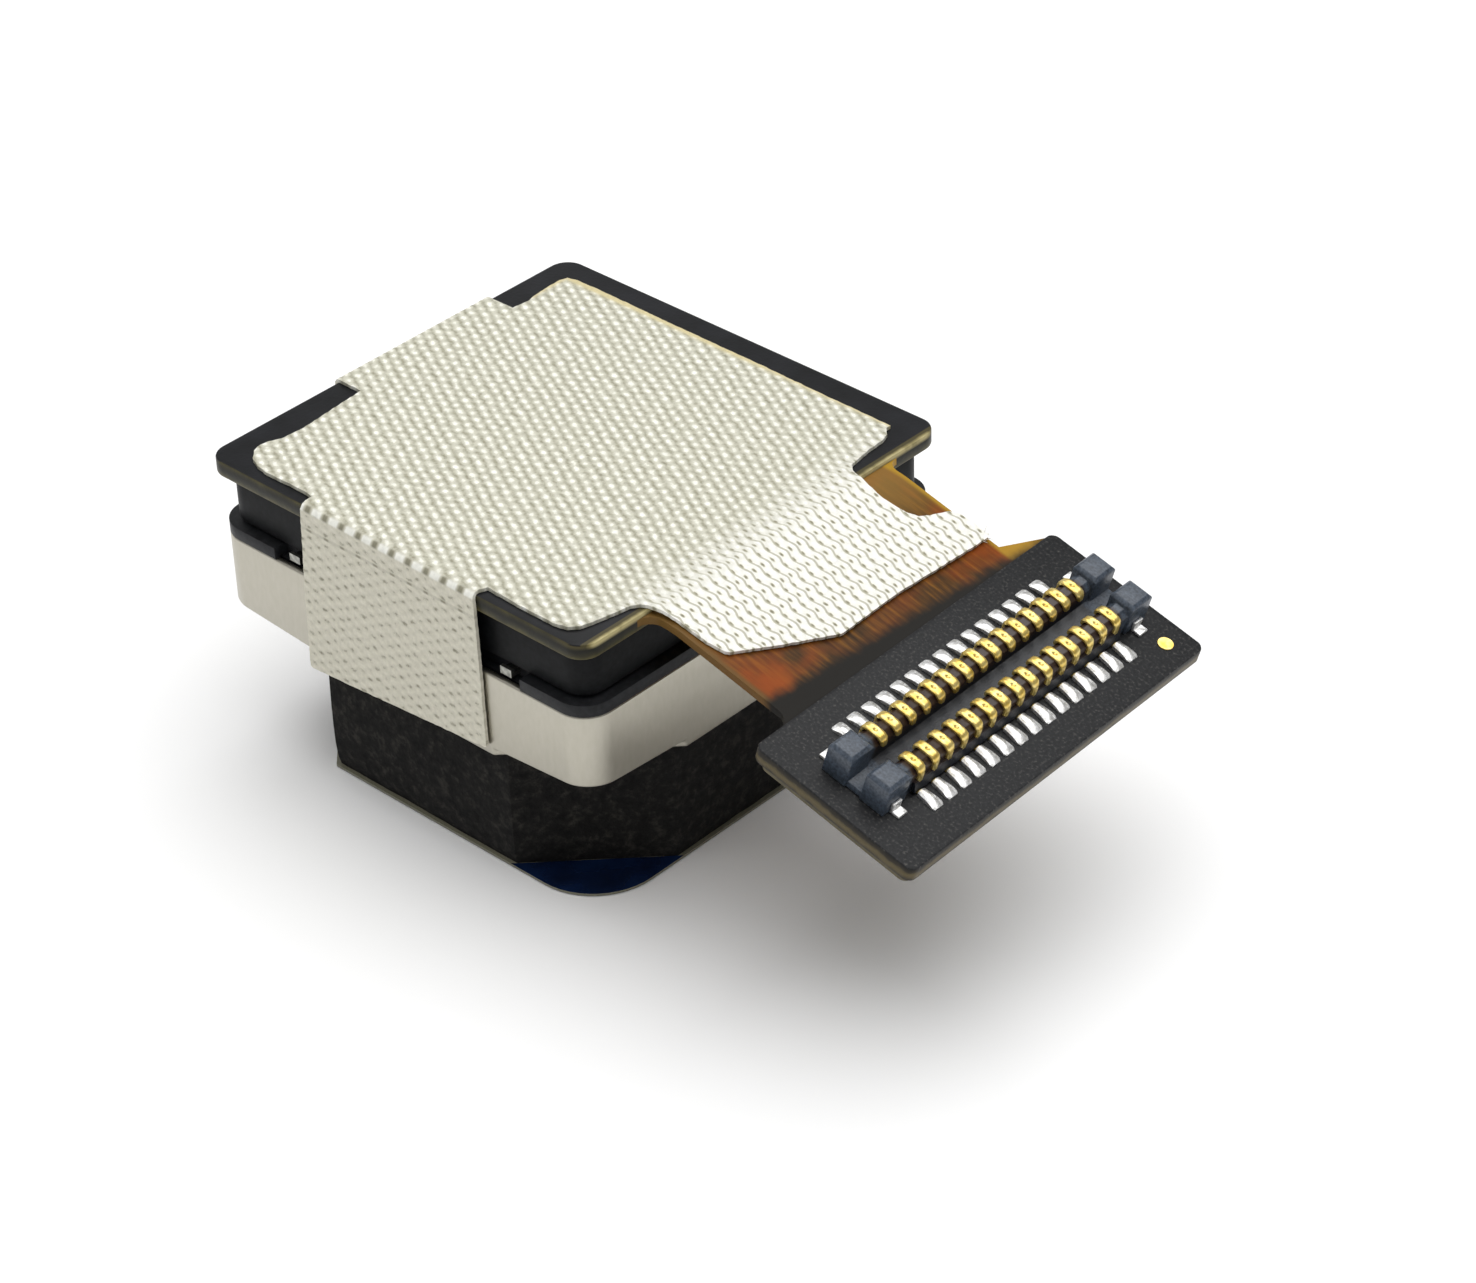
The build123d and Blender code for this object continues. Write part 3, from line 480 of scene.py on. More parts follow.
# Plug contacts. Stamped phosphor bronze, plated with gold: each wraps over a ridge from the
# channel and runs out as a foot. A shallow pip on its top snaps into the socket's spring.

pitch = 0.40
contact_count = 15
ridge_middle = 0.433
ridge_half = 0.21
ridge_top = 0.54
wrap_start = 0.40
crown_half = 0.08
shoulder_radius = 0.12
heel_radius = 0.03
strip_half = 0.10
strip_thickness = 0.06
leg_share = 0.64
cap_level = 0.42
cap_rise = 0.08
foot_length = 0.40
pip_depth = 0.04
pip_radius = 0.032


def held(value):
    """Value held between 0 and 1."""
    return min(max(value, 0), 1)


def skin(bm, rings, material=0):
    """Faces from each ring of vertices to the next, and over the two ends where they differ."""
    if rings[0] is not rings[-1]:
        bm.faces.new(rings[0][::-1]).material_index = material
        bm.faces.new(rings[-1]).material_index = material
    for one, two in zip(rings, rings[1:]):
        for i in range(len(one)):
            j = (i + 1) % len(one)
            bm.faces.new((one[i], one[j], two[j], two[i])).material_index = material


def closed_mesh(bm, name):
    """Mesh of a finished shell, its faces turned outwards."""
    bmesh.ops.recalc_face_normals(bm, faces=bm.faces)
    mesh = bpy.data.meshes.new(name)
    bm.to_mesh(mesh)
    bm.free()
    return mesh


def strip_mesh(name, path, thickness, widths, sunk):
    """Flat strip with softened edges that follows a path in X and Z, outer side up."""
    soft = 0.35 * thickness
    bevel_top = thickness - 0.3 * soft
    bm = bmesh.new()
    rings = []
    for index, (x, z) in enumerate(path):
        before = Vector(path[max(index - 1, 0)])
        after = Vector(path[min(index + 1, len(path) - 1)])
        heading = (after - before).normalized()
        outward = Vector((-heading.y, heading.x))
        reach = strip_half * widths[index]
        section = [(-reach, 0), (-reach, thickness - soft), (-reach + soft, bevel_top)]
        for share in (-0.68, -0.36, -0.18, 0.0, 0.18, 0.36, 0.68):
            section.append((share * reach, thickness - sunk(x, z, share * reach)))
        section += [(reach - soft, bevel_top), (reach, thickness - soft), (reach, 0)]
        rings.append([
            bm.verts.new(((x + outward.x * h) * MM, w * MM, (z + outward.y * h) * MM))
            for w, h in section
        ])
    skin(bm, rings)
    return closed_mesh(bm, name)


def rounded_path(corners, radii):
    """Path through the corners in X and Z, each turned with its own radius."""
    steps = 4
    points = [Vector(corners[0])]
    for index in range(1, len(corners) - 1):
        corner = Vector(corners[index])
        back = (Vector(corners[index - 1]) - corner).normalized()
        ahead = (Vector(corners[index + 1]) - corner).normalized()
        turn = pi - back.angle(ahead)
        cut = radii[index - 1] * tan(turn / 2)
        start, end = corner + back * cut, corner + ahead * cut
        for step in range(steps + 1):
            t = step / steps
            points.append(start * (1 - t) ** 2 + corner * 2 * t * (1 - t) + end * t ** 2)
    points.append(Vector(corners[-1]))
    return [tuple(p) for p in points]


def pip(x, z, across):
    """Depth of the pressed pip at a place on the contact's top."""
    return pip_depth * exp(-(x * x + across * across) / pip_radius ** 2) if z > 0.5 else 0


inner_half = rounded_path(
    [(-ridge_half, wrap_start), (-ridge_half, ridge_top), (-crown_half, ridge_top)], [shoulder_radius]
)
outer_half = rounded_path(
    [
        (crown_half, ridge_top), (ridge_half, ridge_top), (ridge_half, 0.0),
        (ridge_half + strip_thickness + foot_length, 0.0),
    ],
    [shoulder_radius, heel_radius],
)
crown = [(x / 100, ridge_top) for x in (-6, -4, -2, 0, 2, 4, 6)]
wrap = inner_half + crown + outer_half
wrap_widths = [leg_share + (1 - leg_share) * held((z - cap_level) / cap_rise) for x, z in wrap]
contact_mesh = strip_mesh("contact", wrap, strip_thickness, wrap_widths, pip)
contact_model = bpy.data.objects.new("contact_model", contact_mesh)


def two_rows(name, model, finish):
    """Rows of a model on both sides of the plug's middle, made by one geometry node tree."""
    tree = bpy.data.node_groups.new(name, "GeometryNodeTree")
    face = tree.interface
    face.new_socket("Geometry", in_out="OUTPUT", socket_type="NodeSocketGeometry")
    values = {
        "Model": ("Object", model),
        "Count": ("Int", contact_count),
        "Pitch": ("Float", pitch * MM),
        "Row offset": ("Float", ridge_middle * MM),
        "Finish": ("Material", finish),
    }
    sockets = {
        word: face.new_socket(word, in_out="INPUT", socket_type="NodeSocket" + kind)
        for word, (kind, _) in values.items()
    }
    given = add(tree, "NodeGroupInput", out=None)
    shape = add(tree, "GeometryNodeObjectInfo", {"Object": given["Model"]}, "Geometry")
    last = add(tree, "Math", [given["Count"], 1.0], operation="SUBTRACT")
    reach = add(tree, "Math", [last, given["Pitch"]], operation="MULTIPLY")
    start_y = add(tree, "Math", [reach, -0.5], operation="MULTIPLY")
    start = add(tree, "CombineXYZ", {"X": given["Row offset"], "Y": start_y})
    along = add(tree, "CombineXYZ", {"Y": given["Pitch"]})
    line = add(
        tree, "GeometryNodeMeshLine", {"Count": given["Count"], "Start Location": start, "Offset": along}
    )
    row = add(tree, "GeometryNodeInstanceOnPoints", {"Points": line, "Instance": shape})
    row = add(tree, "GeometryNodeRealizeInstances", [row])
    other = add(tree, "GeometryNodeTransform", {"Geometry": row, "Rotation": (0, 0, pi)})
    joined = add(tree, "GeometryNodeJoinGeometry", [row])
    tree.links.new(other, joined.node.inputs["Geometry"])
    whole = add(tree, "GeometryNodeRealizeInstances", [joined])
    painted = add(tree, "GeometryNodeSetMaterial", {"Geometry": whole, "Material": given["Finish"]})
    add(tree, "NodeGroupOutput", [painted], None)
    piece = new_object(name, bpy.data.meshes.new(name))
    rows = piece.modifiers.new("rows", "NODES")
    rows.node_group = tree
    for word, (_, value) in values.items():
        rows[sockets[word].identifier] = value
    plain = bpy.data.meshes.new_from_object(piece.evaluated_get(bpy.context.evaluated_depsgraph_get()))
    plain.name = name
    piece.modifiers.remove(rows)
    plain.transform(plug_at @ Matrix.Translation(Vector((plug_middle_x, plug_middle_y, 0)) * MM))
    piece.data = smooth(plain, 40)
    return piece


contacts = two_rows("contacts_gold", contact_model, gold)
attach(contacts, "module")
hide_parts("plug_contacts")


# Solder. Each foot is reflowed onto its pad: bright tin alloy climbs over the foot and swells
# into a rounded fillet at its end, wider than the strip.

solder_start = ridge_half + 0.13
solder_end = ridge_half + strip_thickness + foot_length + 0.10
solder_height = 0.11
drop_steps = 8

tin = mottled("reflowed_tin_solder", "#C9C8C4", "#FFFFFF", 0.08, 0.008, Metallic=0.65, Roughness=0.3)
shares = [index / drop_steps for index in range(drop_steps + 1)]
drop_path = [(solder_start + (solder_end - solder_start) * t, 0.0) for t in shares]
drop_widths = [(0.95 + 0.50 * t ** 1.2) * (1 if t < 1 else 0.75) for t in shares]


def dome(x, z, across):
    """Depth below the fillet's crown at a place across it."""
    return 4.2 * across * across


solder_mesh = strip_mesh("solder_drop", drop_path, solder_height, drop_widths, dome)
for vertex in solder_mesh.vertices:
    t = (vertex.co.x / MM - solder_start) / (solder_end - solder_start)
    if vertex.co.z > 0.001 * MM:
        vertex.co.z *= 1.0 - 0.75 * max(0.0, (t - 0.45) / 0.55) ** 1.6
solder = two_rows("solder_drops", bpy.data.objects.new("solder_model", solder_mesh), tin)
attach(solder, "module")
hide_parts("solder_fillets")


# Hold-down tabs. Tinned metal strips at the housing's corners, soldered to anchor pads so that
# pulling at the plug doesn't load its contacts.

tabs = edged_copy("hold_down_tabs", "tabs_edged", 0.015)
dress(tabs, tin)
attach(tabs, "module")
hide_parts("hold_down_tabs")


# Sensor holder. A frame moulded in black liquid-crystal polymer, with the fine matt texture
# of a spark-eroded mould, glued round the sensor under the board.

holder_polymer = mottled(
    "black_liquid_crystal_polymer", "#0A0B0C", "#151618", 0.12, 0.006, Roughness=0.5, Specular_IOR_Level=0.13
)
holder = edged_copy("sensor_holder", "holder_edged", 0.03)
dress(holder, holder_polymer)
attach(holder, "module")
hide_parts("sensor_holder")


# Actuator base. The same black polymer, a little glossier, and painted lighter than the holder's
# so that its flange and the shaded groove come out brighter; its flange carries the can, and in
# its notch two tinned terminals come out.

# Painted light: a lighter copy of the holder's polymer.
base_polymer = mottled(
    "lighter_liquid_crystal_polymer", "#161719", "#242528", 0.12, 0.006, Roughness=0.45, Specular_IOR_Level=0.22
)
base = edged_copy("actuator_base", "base_edged", 0.03)
dress(base, base_polymer)
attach(base, "module")
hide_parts("actuator_base")
dull_tin = mottled("dull_tin_plate", "#82827D", "#B4B4AC", 0.1, 0.004, Metallic=1.0, Roughness=0.4)
dress(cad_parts["actuator_terminals"], dull_tin)


# Actuator can. Deep drawn from thin nickel silver, tumbled to a satin finish that keeps faint
# drawing marks up its sides.

nickel_silver, tree, shader, here = begin_material("satin_nickel_silver", Metallic=1.0, Roughness=0.36)
upright = add(tree, "VectorMath", [here, (1.0, 1.0, 0.4)], operation="MULTIPLY")
marks, can_color = cloudy(tree, upright, 0.10, {0.3: "#B3AFA2", 0.7: "#B8B4A8"})
end_material(shader, can_color, marks, 0.12, 0.001)

can = edged_copy("actuator_can", "can_edged", 0.05, 3)
dress(can, nickel_silver)
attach(can, "module")
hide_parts("actuator_can")


# Foam gasket. Black open-cell urethane foam, die-cut with its corners taken off and a round
# hole for the lens. Its cut walls show the cells as a mottle and lean in and out a little.

foam_half_x = 4.575
foam_half_y = 4.45
foam_leg = 2.15
foam_low = 0.05
foam_high = 2.76
foam_bore = 3.60
foam_levels = 16
foam_step = 0.16


def octagon(half_x, half_y, leg):
    """Corners of a rectangle with its own corners cut off, anticlockwise from the +X side."""
    quarter = [(half_x, half_y - leg), (half_x - leg, half_y)]
    half = quarter + [(-x, y) for x, y in reversed(quarter)]
    return half + [(-x, -y) for x, y in half]


def divided(corners, step):
    """Closed outline with points added along its sides, about a step apart."""
    points = []
    for one, two in zip(corners, corners[1:] + corners[:1]):
        parts = max(1, round((two - one).length / step))
        points += [one.lerp(two, i / parts) for i in range(parts)]
    return points


foam_outline = [Vector(p) for p in octagon(foam_half_x, foam_half_y, foam_leg)]
foam_ring = divided(foam_outline, foam_step)
bm = bmesh.new()
rings = []
for level in range(foam_levels + 1):
    t = level / foam_levels
    z = foam_low + (foam_high - foam_low) * t
    swell = 0.03 * sin(pi * t) - 0.06 * (abs(2 * t - 1) ** 8)
    ring = []
    for p in foam_ring:
        rough = 0.018 * noise.noise(Vector((p.x * 2.2, p.y * 2.2, z * 2.2)))
        q = p * (1 + (swell + rough) / p.length)
        ring.append(bm.verts.new((q.x * MM, q.y * MM, z * MM)))
    rings.append(ring)
for z in (foam_high, foam_low):
    bore = [foam_bore * p.normalized() for p in foam_ring]
    rings.append([bm.verts.new((p.x * MM, p.y * MM, z * MM)) for p in bore])
skin(bm, rings + rings[:1])
foam = new_object("foam_pad", smooth(closed_mesh(bm, "foam_pad"), 40))

# Cells of 0.22 mm are coarser than the real ones, so that they show.
urethane, tree, shader, here = begin_material("black_urethane_foam", Roughness=0.95, Specular_IOR_Level=0.25)
cell_stops = {0.34: "#080808", 0.52: "#191817", 0.70: "#34322E"}
cells, foam_color = cloudy(tree, here, 0.22, cell_stops, 5.0, 0.7)
end_material(shader, foam_color, cells, 0.8, 0.04)
dress(foam, urethane)
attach(foam, "module")
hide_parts("foam_gasket")


# Release film. Deep blue polyester, cut like the foam but with one full corner to peel by. It
# keeps the foam's adhesive clean until the module is fitted; its slit edge is pale.

film_half_x = foam_half_x + 0.03
film_half_y = foam_half_y + 0.03
film_thickness = 0.05
peel_radius = 1.40
peel_steps = 12
corner_from = 6.80


def circle(radius, parts=96):
    """Points round the lens axis."""
    turns = [tau * i / parts for i in range(parts)]
    return [(radius * cos(turn), radius * sin(turn)) for turn in turns]


def flat_sheet(name, outlines, low, high):
    """Flat sheet between two levels in mm, bounded by its closed outlines."""
    bm = bmesh.new()
    edges = []
    for outline in outlines:
        ring = [bm.verts.new((x * MM, y * MM, low * MM)) for x, y in outline]
        edges += [bm.edges.new((ring[i - 1], ring[i])) for i in range(len(ring))]
    filled = bmesh.ops.triangle_fill(bm, use_beauty=True, use_dissolve=False, edges=edges)["geom"]
    sheet_faces = [part for part in filled if isinstance(part, bmesh.types.BMFace)]
    grown = bmesh.ops.extrude_face_region(bm, geom=sheet_faces)["geom"]
    raised = [part for part in grown if isinstance(part, bmesh.types.BMVert)]
    bmesh.ops.translate(bm, verts=raised, vec=(0, 0, (high - low) * MM))
    return new_object(name, smooth(closed_mesh(bm, name), 32))


film_outline = octagon(film_half_x, film_half_y, foam_leg)[:-2]
for step in range(peel_steps + 1):
    turn = radians(90 * (step / peel_steps - 1))
    film_outline.append((
        film_half_x - peel_radius * (1 - cos(turn)),
        -film_half_y + peel_radius * (1 + sin(turn)),
    ))
release_film = flat_sheet("film_cut", [film_outline, circle(foam_bore)], 0.0, film_thickness)

polyester, tree, shader, here = begin_material("blue_polyester_film", Roughness=0.22)
facing = add(tree, "SeparateXYZ", [add(tree, "NewGeometry", out="Normal")], 2)
above = add(tree, "Math", [facing, 0.5], operation="GREATER_THAN")
under = add(tree, "Math", [facing, -0.5], operation="LESS_THAN")
_, film_blue = cloudy(tree, here, 0.9, {0.3: "#0C1730", 0.7: "#122850"}, 3.0)
place = add(tree, "SeparateXYZ", [here], None)
to_corner = add(tree, "Math", [place[0], place[1]], operation="SUBTRACT")
at_corner = add(tree, "Math", [to_corner, corner_from * MM], operation="GREATER_THAN")
blue_side = add(tree, "Math", [above, at_corner, under], operation="MULTIPLY_ADD")
film_color = add(tree, "Mix", {0: blue_side, 6: "#7C7A69", 7: film_blue}, 2, data_type="RGBA")
end_material(shader, film_color)
dress(release_film, polyester)
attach(release_film, "module")
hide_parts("release_film")


# Conductive tape. Polyester cloth plated with copper and nickel, about 0.07 mm thick, with
# adhesive on its back: pressed over the board, folded down two sides and run over the tail.

tape_under = 6.28
tape_thickness = 0.07
fold_inner = 0.055
fold_inset = 0.04
weave_step = 0.075
weave_lift = 0.007
fray = 0.006
rib_u, rib_v, ends_u, picks_v = 2.25, 4.25, 4.5, 2.83

fold_middle = fold_inner + tape_thickness / 2
fold_length = fold_middle * pi / 2
flap_drop_from = tape_under - fold_inner


def tail_at(s, y):
    """Pattern point at a distance along the tail from the board's edge, and across it."""
    return (
        root_x + s * cos(tail_yaw) - y * sin(tail_yaw),
        root_y + s * sin(tail_yaw) + y * cos(tail_yaw),
    )


def front_at(x, z):
    """Pattern point on the front flap at a height above the table."""
    return (x, -(board_half_y - fold_inset) - fold_length - (flap_drop_from - z))


def side_at(y, z):
    """Pattern point on the side flap at a height above the table."""
    return (-(board_half_x - fold_inset) - fold_length - (flap_drop_from - z), y)


tape_pattern = [
    (-4.27, -1.45), (-4.20, -2.3), (-4.12, -3.12), (-4.16, -3.60), (-4.27, -3.82), (-4.31, -4.02),
    (-4.24, -4.22), (-4.04, -4.43), (-3.80, -4.52), (-3.50, -4.57), (-2.88, -4.55), (-2.52, -4.55),
    (-2.24, -4.58), (-2.23, -4.75), (-2.26, -5.2),
    front_at(-2.36, 4.4), front_at(-2.41, 2.63), front_at(-2.36, 2.60),
    front_at(2.30, 2.97), front_at(2.35, 3.0), front_at(2.33, 4.6),
    (2.30, -5.2), (2.28, -4.72), (2.36, -4.57),
    (3.20, -4.60), (4.02, -4.60), (4.30, -4.54), (4.47, -4.36), (4.54, -4.12), (4.64, -3.62),
    (4.70, -3.33), (4.80, -3.19), (4.93, -3.12),
    tail_at(0.45, -3.09), tail_at(1.15, -3.05), tail_at(1.52, -2.97),
    tail_at(1.60, -2.90), tail_at(2.07, -1.98), tail_at(2.55, -0.95),
    tail_at(2.53, 0.75), tail_at(2.63, 2.35), tail_at(2.66, 3.12), tail_at(2.62, 3.20),
    tail_at(2.2, 3.19), tail_at(1.90, 3.16), tail_at(1.76, 3.04), tail_at(1.62, 2.68),
    tail_at(1.50, 2.48), tail_at(1.30, 2.37), tail_at(0.78, 2.29), tail_at(0.40, 2.33),
    tail_at(0.02, 2.41),
    (4.78, 2.50), (4.64, 2.62), (4.59, 2.86), (4.53, 3.27), (4.51, 3.62), (4.45, 3.84),
    (4.28, 4.00), (4.29, 4.11), (4.03, 4.12), (2.76, 4.13), (0.5, 4.17), (-1.73, 4.18),
    (-3.42, 4.21), (-4.06, 4.19), (-4.23, 4.14), (-4.30, 3.98), (-4.28, 3.55), (-4.24, 3.18),
    (-4.19, 2.98), (-4.22, 2.79), (-4.25, 2.61),
    side_at(2.60, 5.2), side_at(2.61, 3.0), side_at(2.55, 2.93),
    side_at(-1.40, 2.98), side_at(-1.45, 3.03), side_at(-1.45, 5.2),
]

# The tail leaves the board level, turns down within 0.3 mm and soon runs straight. Each place
# holds its distance out, its height over the root and its slope.
profile_step = 0.01
tail_profile = [(0.0, 0.175, 0.0)]
for index in range(400):
    x, z, _ = tail_profile[-1]
    s = index * profile_step
    ease = held((s - 0.02) / 0.30)
    angle = tail_droop if s > 1.1 else radians(17.6) * ease * ease * (3 - 2 * ease)
    tail_profile.append((x + profile_step * cos(angle), z - profile_step * sin(angle), angle))


def weave(u, v):
    """Height of the threads at a pattern point, from the weave's repeats per millimetre."""
    one = cos(tau * (rib_u * u + rib_v * v))
    two = cos(tau * (rib_u * u - rib_v * v))
    ends = cos(tau * ends_u * u)
    picks = cos(tau * picks_v * v)
    return (0.8 * one + 0.25 * two + 0.25 * ends + 0.2 * picks) / 1.5


def from_root(u, v):
    """How far along the tail and across it a pattern point lies."""
    return (
        (u - root_x) * cos(tail_yaw) + (v - root_y) * sin(tail_yaw),
        (v - root_y) * cos(tail_yaw) - (u - root_x) * sin(tail_yaw),
    )


def laid(u, v, height):
    """Where a pattern point lies, at a height above the tape's underside."""
    run, side = from_root(u, v)
    if run > 0:
        place = min(run / profile_step, len(tail_profile) - 2)
        low = int(place)
        t = place - low
        x, z, angle = [a * (1 - t) + b * t for a, b in zip(tail_profile[low], tail_profile[low + 1])]
        x += height * sin(angle)
        z += height * cos(angle)
        return (*tail_at(x, side), root_z + z)
    for down, half, along_y in ((-v, board_half_y, True), (-u, board_half_x, False)):
        past = down - (half - fold_inset)
        if past > 0:
            if past < fold_length:
                angle = past / fold_middle
                out = half - fold_inset + (fold_inner + height) * sin(angle)
                z = flap_drop_from + (fold_inner + height) * cos(angle)
            else:
                out = half - fold_inset + fold_inner + height
                z = flap_drop_from - (past - fold_length)
            return (u, -out, z) if along_y else (-out, v, z)
    return (u, v, tape_under + height)


def inside(p, ring):
    """Whether a pattern point lies in the ring."""
    crossed = False
    for one, two in zip(ring, ring[1:] + ring[:1]):
        if (one.y > p.y) != (two.y > p.y):
            if p.x < one.x + (p.y - one.y) / (two.y - one.y) * (two.x - one.x):
                crossed = not crossed
    return crossed


random.seed(4)
coarse = [Vector(p) for p in tape_pattern]
border = [
    Vector((p.x + random.uniform(-fray, fray), p.y + random.uniform(-fray, fray)))
    for p in divided(coarse, weave_step)
]
nearest = kdtree.KDTree(len(border))
for index, p in enumerate(border):
    nearest.insert((p.x, p.y, 0), index)
nearest.balance()
points = list(border)
row = 0
v = min(p.y for p in border)
top = max(p.y for p in border)
left = min(p.x for p in border)
right_end = max(p.x for p in border)
while v < top:
    u = left + (row % 2) * weave_step / 2
    while u < right_end:
        p = Vector((u, v))
        if nearest.find((u, v, 0))[2] >= 0.6 * weave_step and inside(p, coarse):
            points.append(p)
        u += weave_step
    v += weave_step * 0.87
    row += 1
ring_edges = [(i, (i + 1) % len(border)) for i in range(len(border))]
flat_points, _, faces, origins, _, _ = delaunay_2d_cdt(
    points, ring_edges, [list(range(len(border)))], 1, 1e-7, True
)
on_border = [any(i < len(border) for i in origin) for origin in origins]
faces = [
    face for face in faces
    if not all(on_border[i] for i in face)
    or inside(sum((flat_points[i] for i in face), Vector((0, 0))) / 3, border)
]
sides = [(a, b) for face in faces for a, b in zip(face, face[1:] + face[:1])]
paired = set(sides)
rim = [(a, b) for a, b in sides if (b, a) not in paired]
tape_area = sum(area_tri(*(flat_points[i] for i in face)) for face in faces)

# The shares say how far a place belongs to a flap, to the tail or to the frayed rear edge.
bm = bmesh.new()
flat_map = bm.loops.layers.uv.new("flat_mm")
flap_share = bm.verts.layers.float.new("flap_share")
tail_share = bm.verts.layers.float.new("tail_share")
fringe_share = bm.verts.layers.float.new("fringe_share")
upper, lower = [], []
spots = {}
for p in flat_points:
    on_flap = held((max(-p.y - board_half_y, -p.x - board_half_x) + 0.05) / 0.12)
    on_tail = held((from_root(p.x, p.y)[0] + 0.75) / 1.15)
    far_side = held(max((p.y - 4.03) / 0.08, (-4.17 - p.x) / 0.08 if p.y > 3.1 else 0))
    drift = 0.012 * noise.noise(Vector((p.x * 0.9, p.y * 0.9, 0.3)))
    relief = weave_lift * weave(p.x, p.y) * (1 - 0.6 * on_flap)
    for layer, height in ((upper, tape_thickness + relief + max(drift, 0)), (lower, 0.0)):
        vertex = bm.verts.new(Vector(laid(p.x, p.y, height)) * MM)
        vertex[flap_share] = on_flap
        vertex[tail_share] = on_tail
        vertex[fringe_share] = far_side
        layer.append(vertex)
        spots[vertex] = p
for face in faces:
    bm.faces.new([upper[i] for i in face])
    bm.faces.new([lower[i] for i in reversed(face)]).material_index = 1
for a, b in rim:
    bm.faces.new((upper[b], upper[a], lower[a], lower[b])).material_index = 1
for face in bm.faces:
    for corner in face.loops:
        corner[flat_map].uv = spots[corner.vert]

# Threads that have come loose at the tape's far tip, each a thin stem on the adhesive's side.
tip = Vector(tail_at(2.60, 3.16))
for _ in range(9):
    start = tip + Vector((random.uniform(-0.10, 0.04), random.uniform(-0.16, 0.0)))
    heading = random.uniform(-0.5, 1.9)
    curl = random.uniform(-3.0, 3.0)
    length = random.uniform(0.10, 0.24)
    rings = []
    for step in range(7):
        t = step / 6
        turn = heading + curl * t * length
        start = start + Vector((cos(turn), sin(turn))) * length / 6
        spot = Vector(laid(start.x, start.y, tape_thickness * 0.5 + 0.10 * t * t))
        reach = 0.009 * (1 - 0.6 * t)
        around = [Vector((cos(a), sin(a), cos(2 * a))) * reach for a in (0, 2.1, 4.2)]
        rings.append([bm.verts.new((spot + offset) * MM) for offset in around])
    skin(bm, rings, 1)
tape = new_object("woven_tape", smooth(closed_mesh(bm, "woven_tape"), 50))

cloth, tree, shader, _ = begin_material("nickel_plated_cloth", Roughness=0.55)
flat_mm = add(tree, "UVMap", uv_map="flat_mm")
wobble = add(tree, "TexNoise", {"Vector": flat_mm, "Scale": 1.6, "Detail": 2.0}, "Color")
wobble = add(tree, "VectorMath", [wobble, (0.09, 0.09, 0), flat_mm], operation="MULTIPLY_ADD")


def wave_of(along_u, along_v):
    """Cosine across the pattern, with its repeats per millimetre in each direction."""
    turns = (tau * along_u, tau * along_v, 0)
    phase = add(tree, "VectorMath", [wobble, turns], "Value", operation="DOT_PRODUCT")
    return add(tree, "Math", [phase], operation="COSINE")


def blend_of(terms):
    """Weighted sum of waves."""
    total = 0.0
    for weight, wave in terms:
        total = add(tree, "Math", [wave, weight, total], operation="MULTIPLY_ADD")
    return total


def color_of(wave, stops):
    """Colour that a wave from -1 to 1 picks from the stops."""
    share = add(tree, "Math", [wave, 0.5, 0.5], operation="MULTIPLY_ADD")
    return add(tree, "ValToRGB", [share], stops=stops)


falling = wave_of(rib_u, rib_v)
rising = wave_of(rib_u, -rib_v)
ends = wave_of(ends_u, 0.0)
picks = wave_of(0.0, picks_v)
knots = wave_of(rib_u, 0.0)
uneven = add(tree, "TexNoise", {"Vector": flat_mm, "Scale": 9.0, "Detail": 4.0, "Roughness": 0.75})
uneven = add(tree, "Math", [uneven, 2.0, -1.0], operation="MULTIPLY_ADD")
threads = blend_of([
    (0.42, falling), (0.17, rising), (0.12, ends), (0.08, picks), (0.06, wave_of(2.3, 1.45)), (0.85, uneven)
])
dots = blend_of([(0.34, falling), (0.34, rising), (0.14, picks), (0.95, uneven)])
ovals = blend_of([(0.50, falling), (0.44, rising), (0.30, uneven)])
# Painted light: these ramps paint the threads' highlights as near-white dots and the shade between them as
# dark lines.
board_weave_lit_and_shaded = color_of(threads, {
    0.0: "#7F7C66", 0.24: "#A8A590", 0.42: "#C9C7B5", 0.64: "#DAD8C8", 0.76: "#F6F5E8", 1.0: "#FFFFFA"
})
on_flap = color_of(dots, {0.0: "#8B8772", 0.16: "#AFAB98", 0.28: "#D3CFBD", 1.0: "#E4E0CF"})
on_tail = color_of(ovals, {
    0.0: "#77735B", 0.10: "#A5A18A", 0.18: "#DEDBCB", 0.25: "#F7F6EC", 1.0: "#FFFEFA"
})
scales = add(tree, "VectorMath", [wobble, (0, tau * rib_v, 0)], "Value", operation="DOT_PRODUCT")
scales = add(tree, "Math", [knots, 0.8, scales], operation="MULTIPLY_ADD")
scales = add(tree, "Math", [scales], operation="COSINE")
scale_line = add(tree, "MapRange", [scales, -1.0, -0.66, 0.8, 0.0], interpolation_type="SMOOTHSTEP")
on_tail = add(tree, "Mix", {0: scale_line, 6: on_tail, 7: "#ABA78F"}, 2, data_type="RGBA")
flap_mix = add(tree, "Attribute", out="Fac", attribute_name="flap_share")
tail_mix = add(tree, "Attribute", out="Fac", attribute_name="tail_share")
cloth_color = add(tree, "Mix", {0: flap_mix, 6: board_weave_lit_and_shaded, 7: on_flap}, 2, data_type="RGBA")
cloth_color = add(tree, "Mix", {0: tail_mix, 6: cloth_color, 7: on_tail}, 2, data_type="RGBA")
down = add(tree, "SeparateXYZ", [flat_mm], 1)
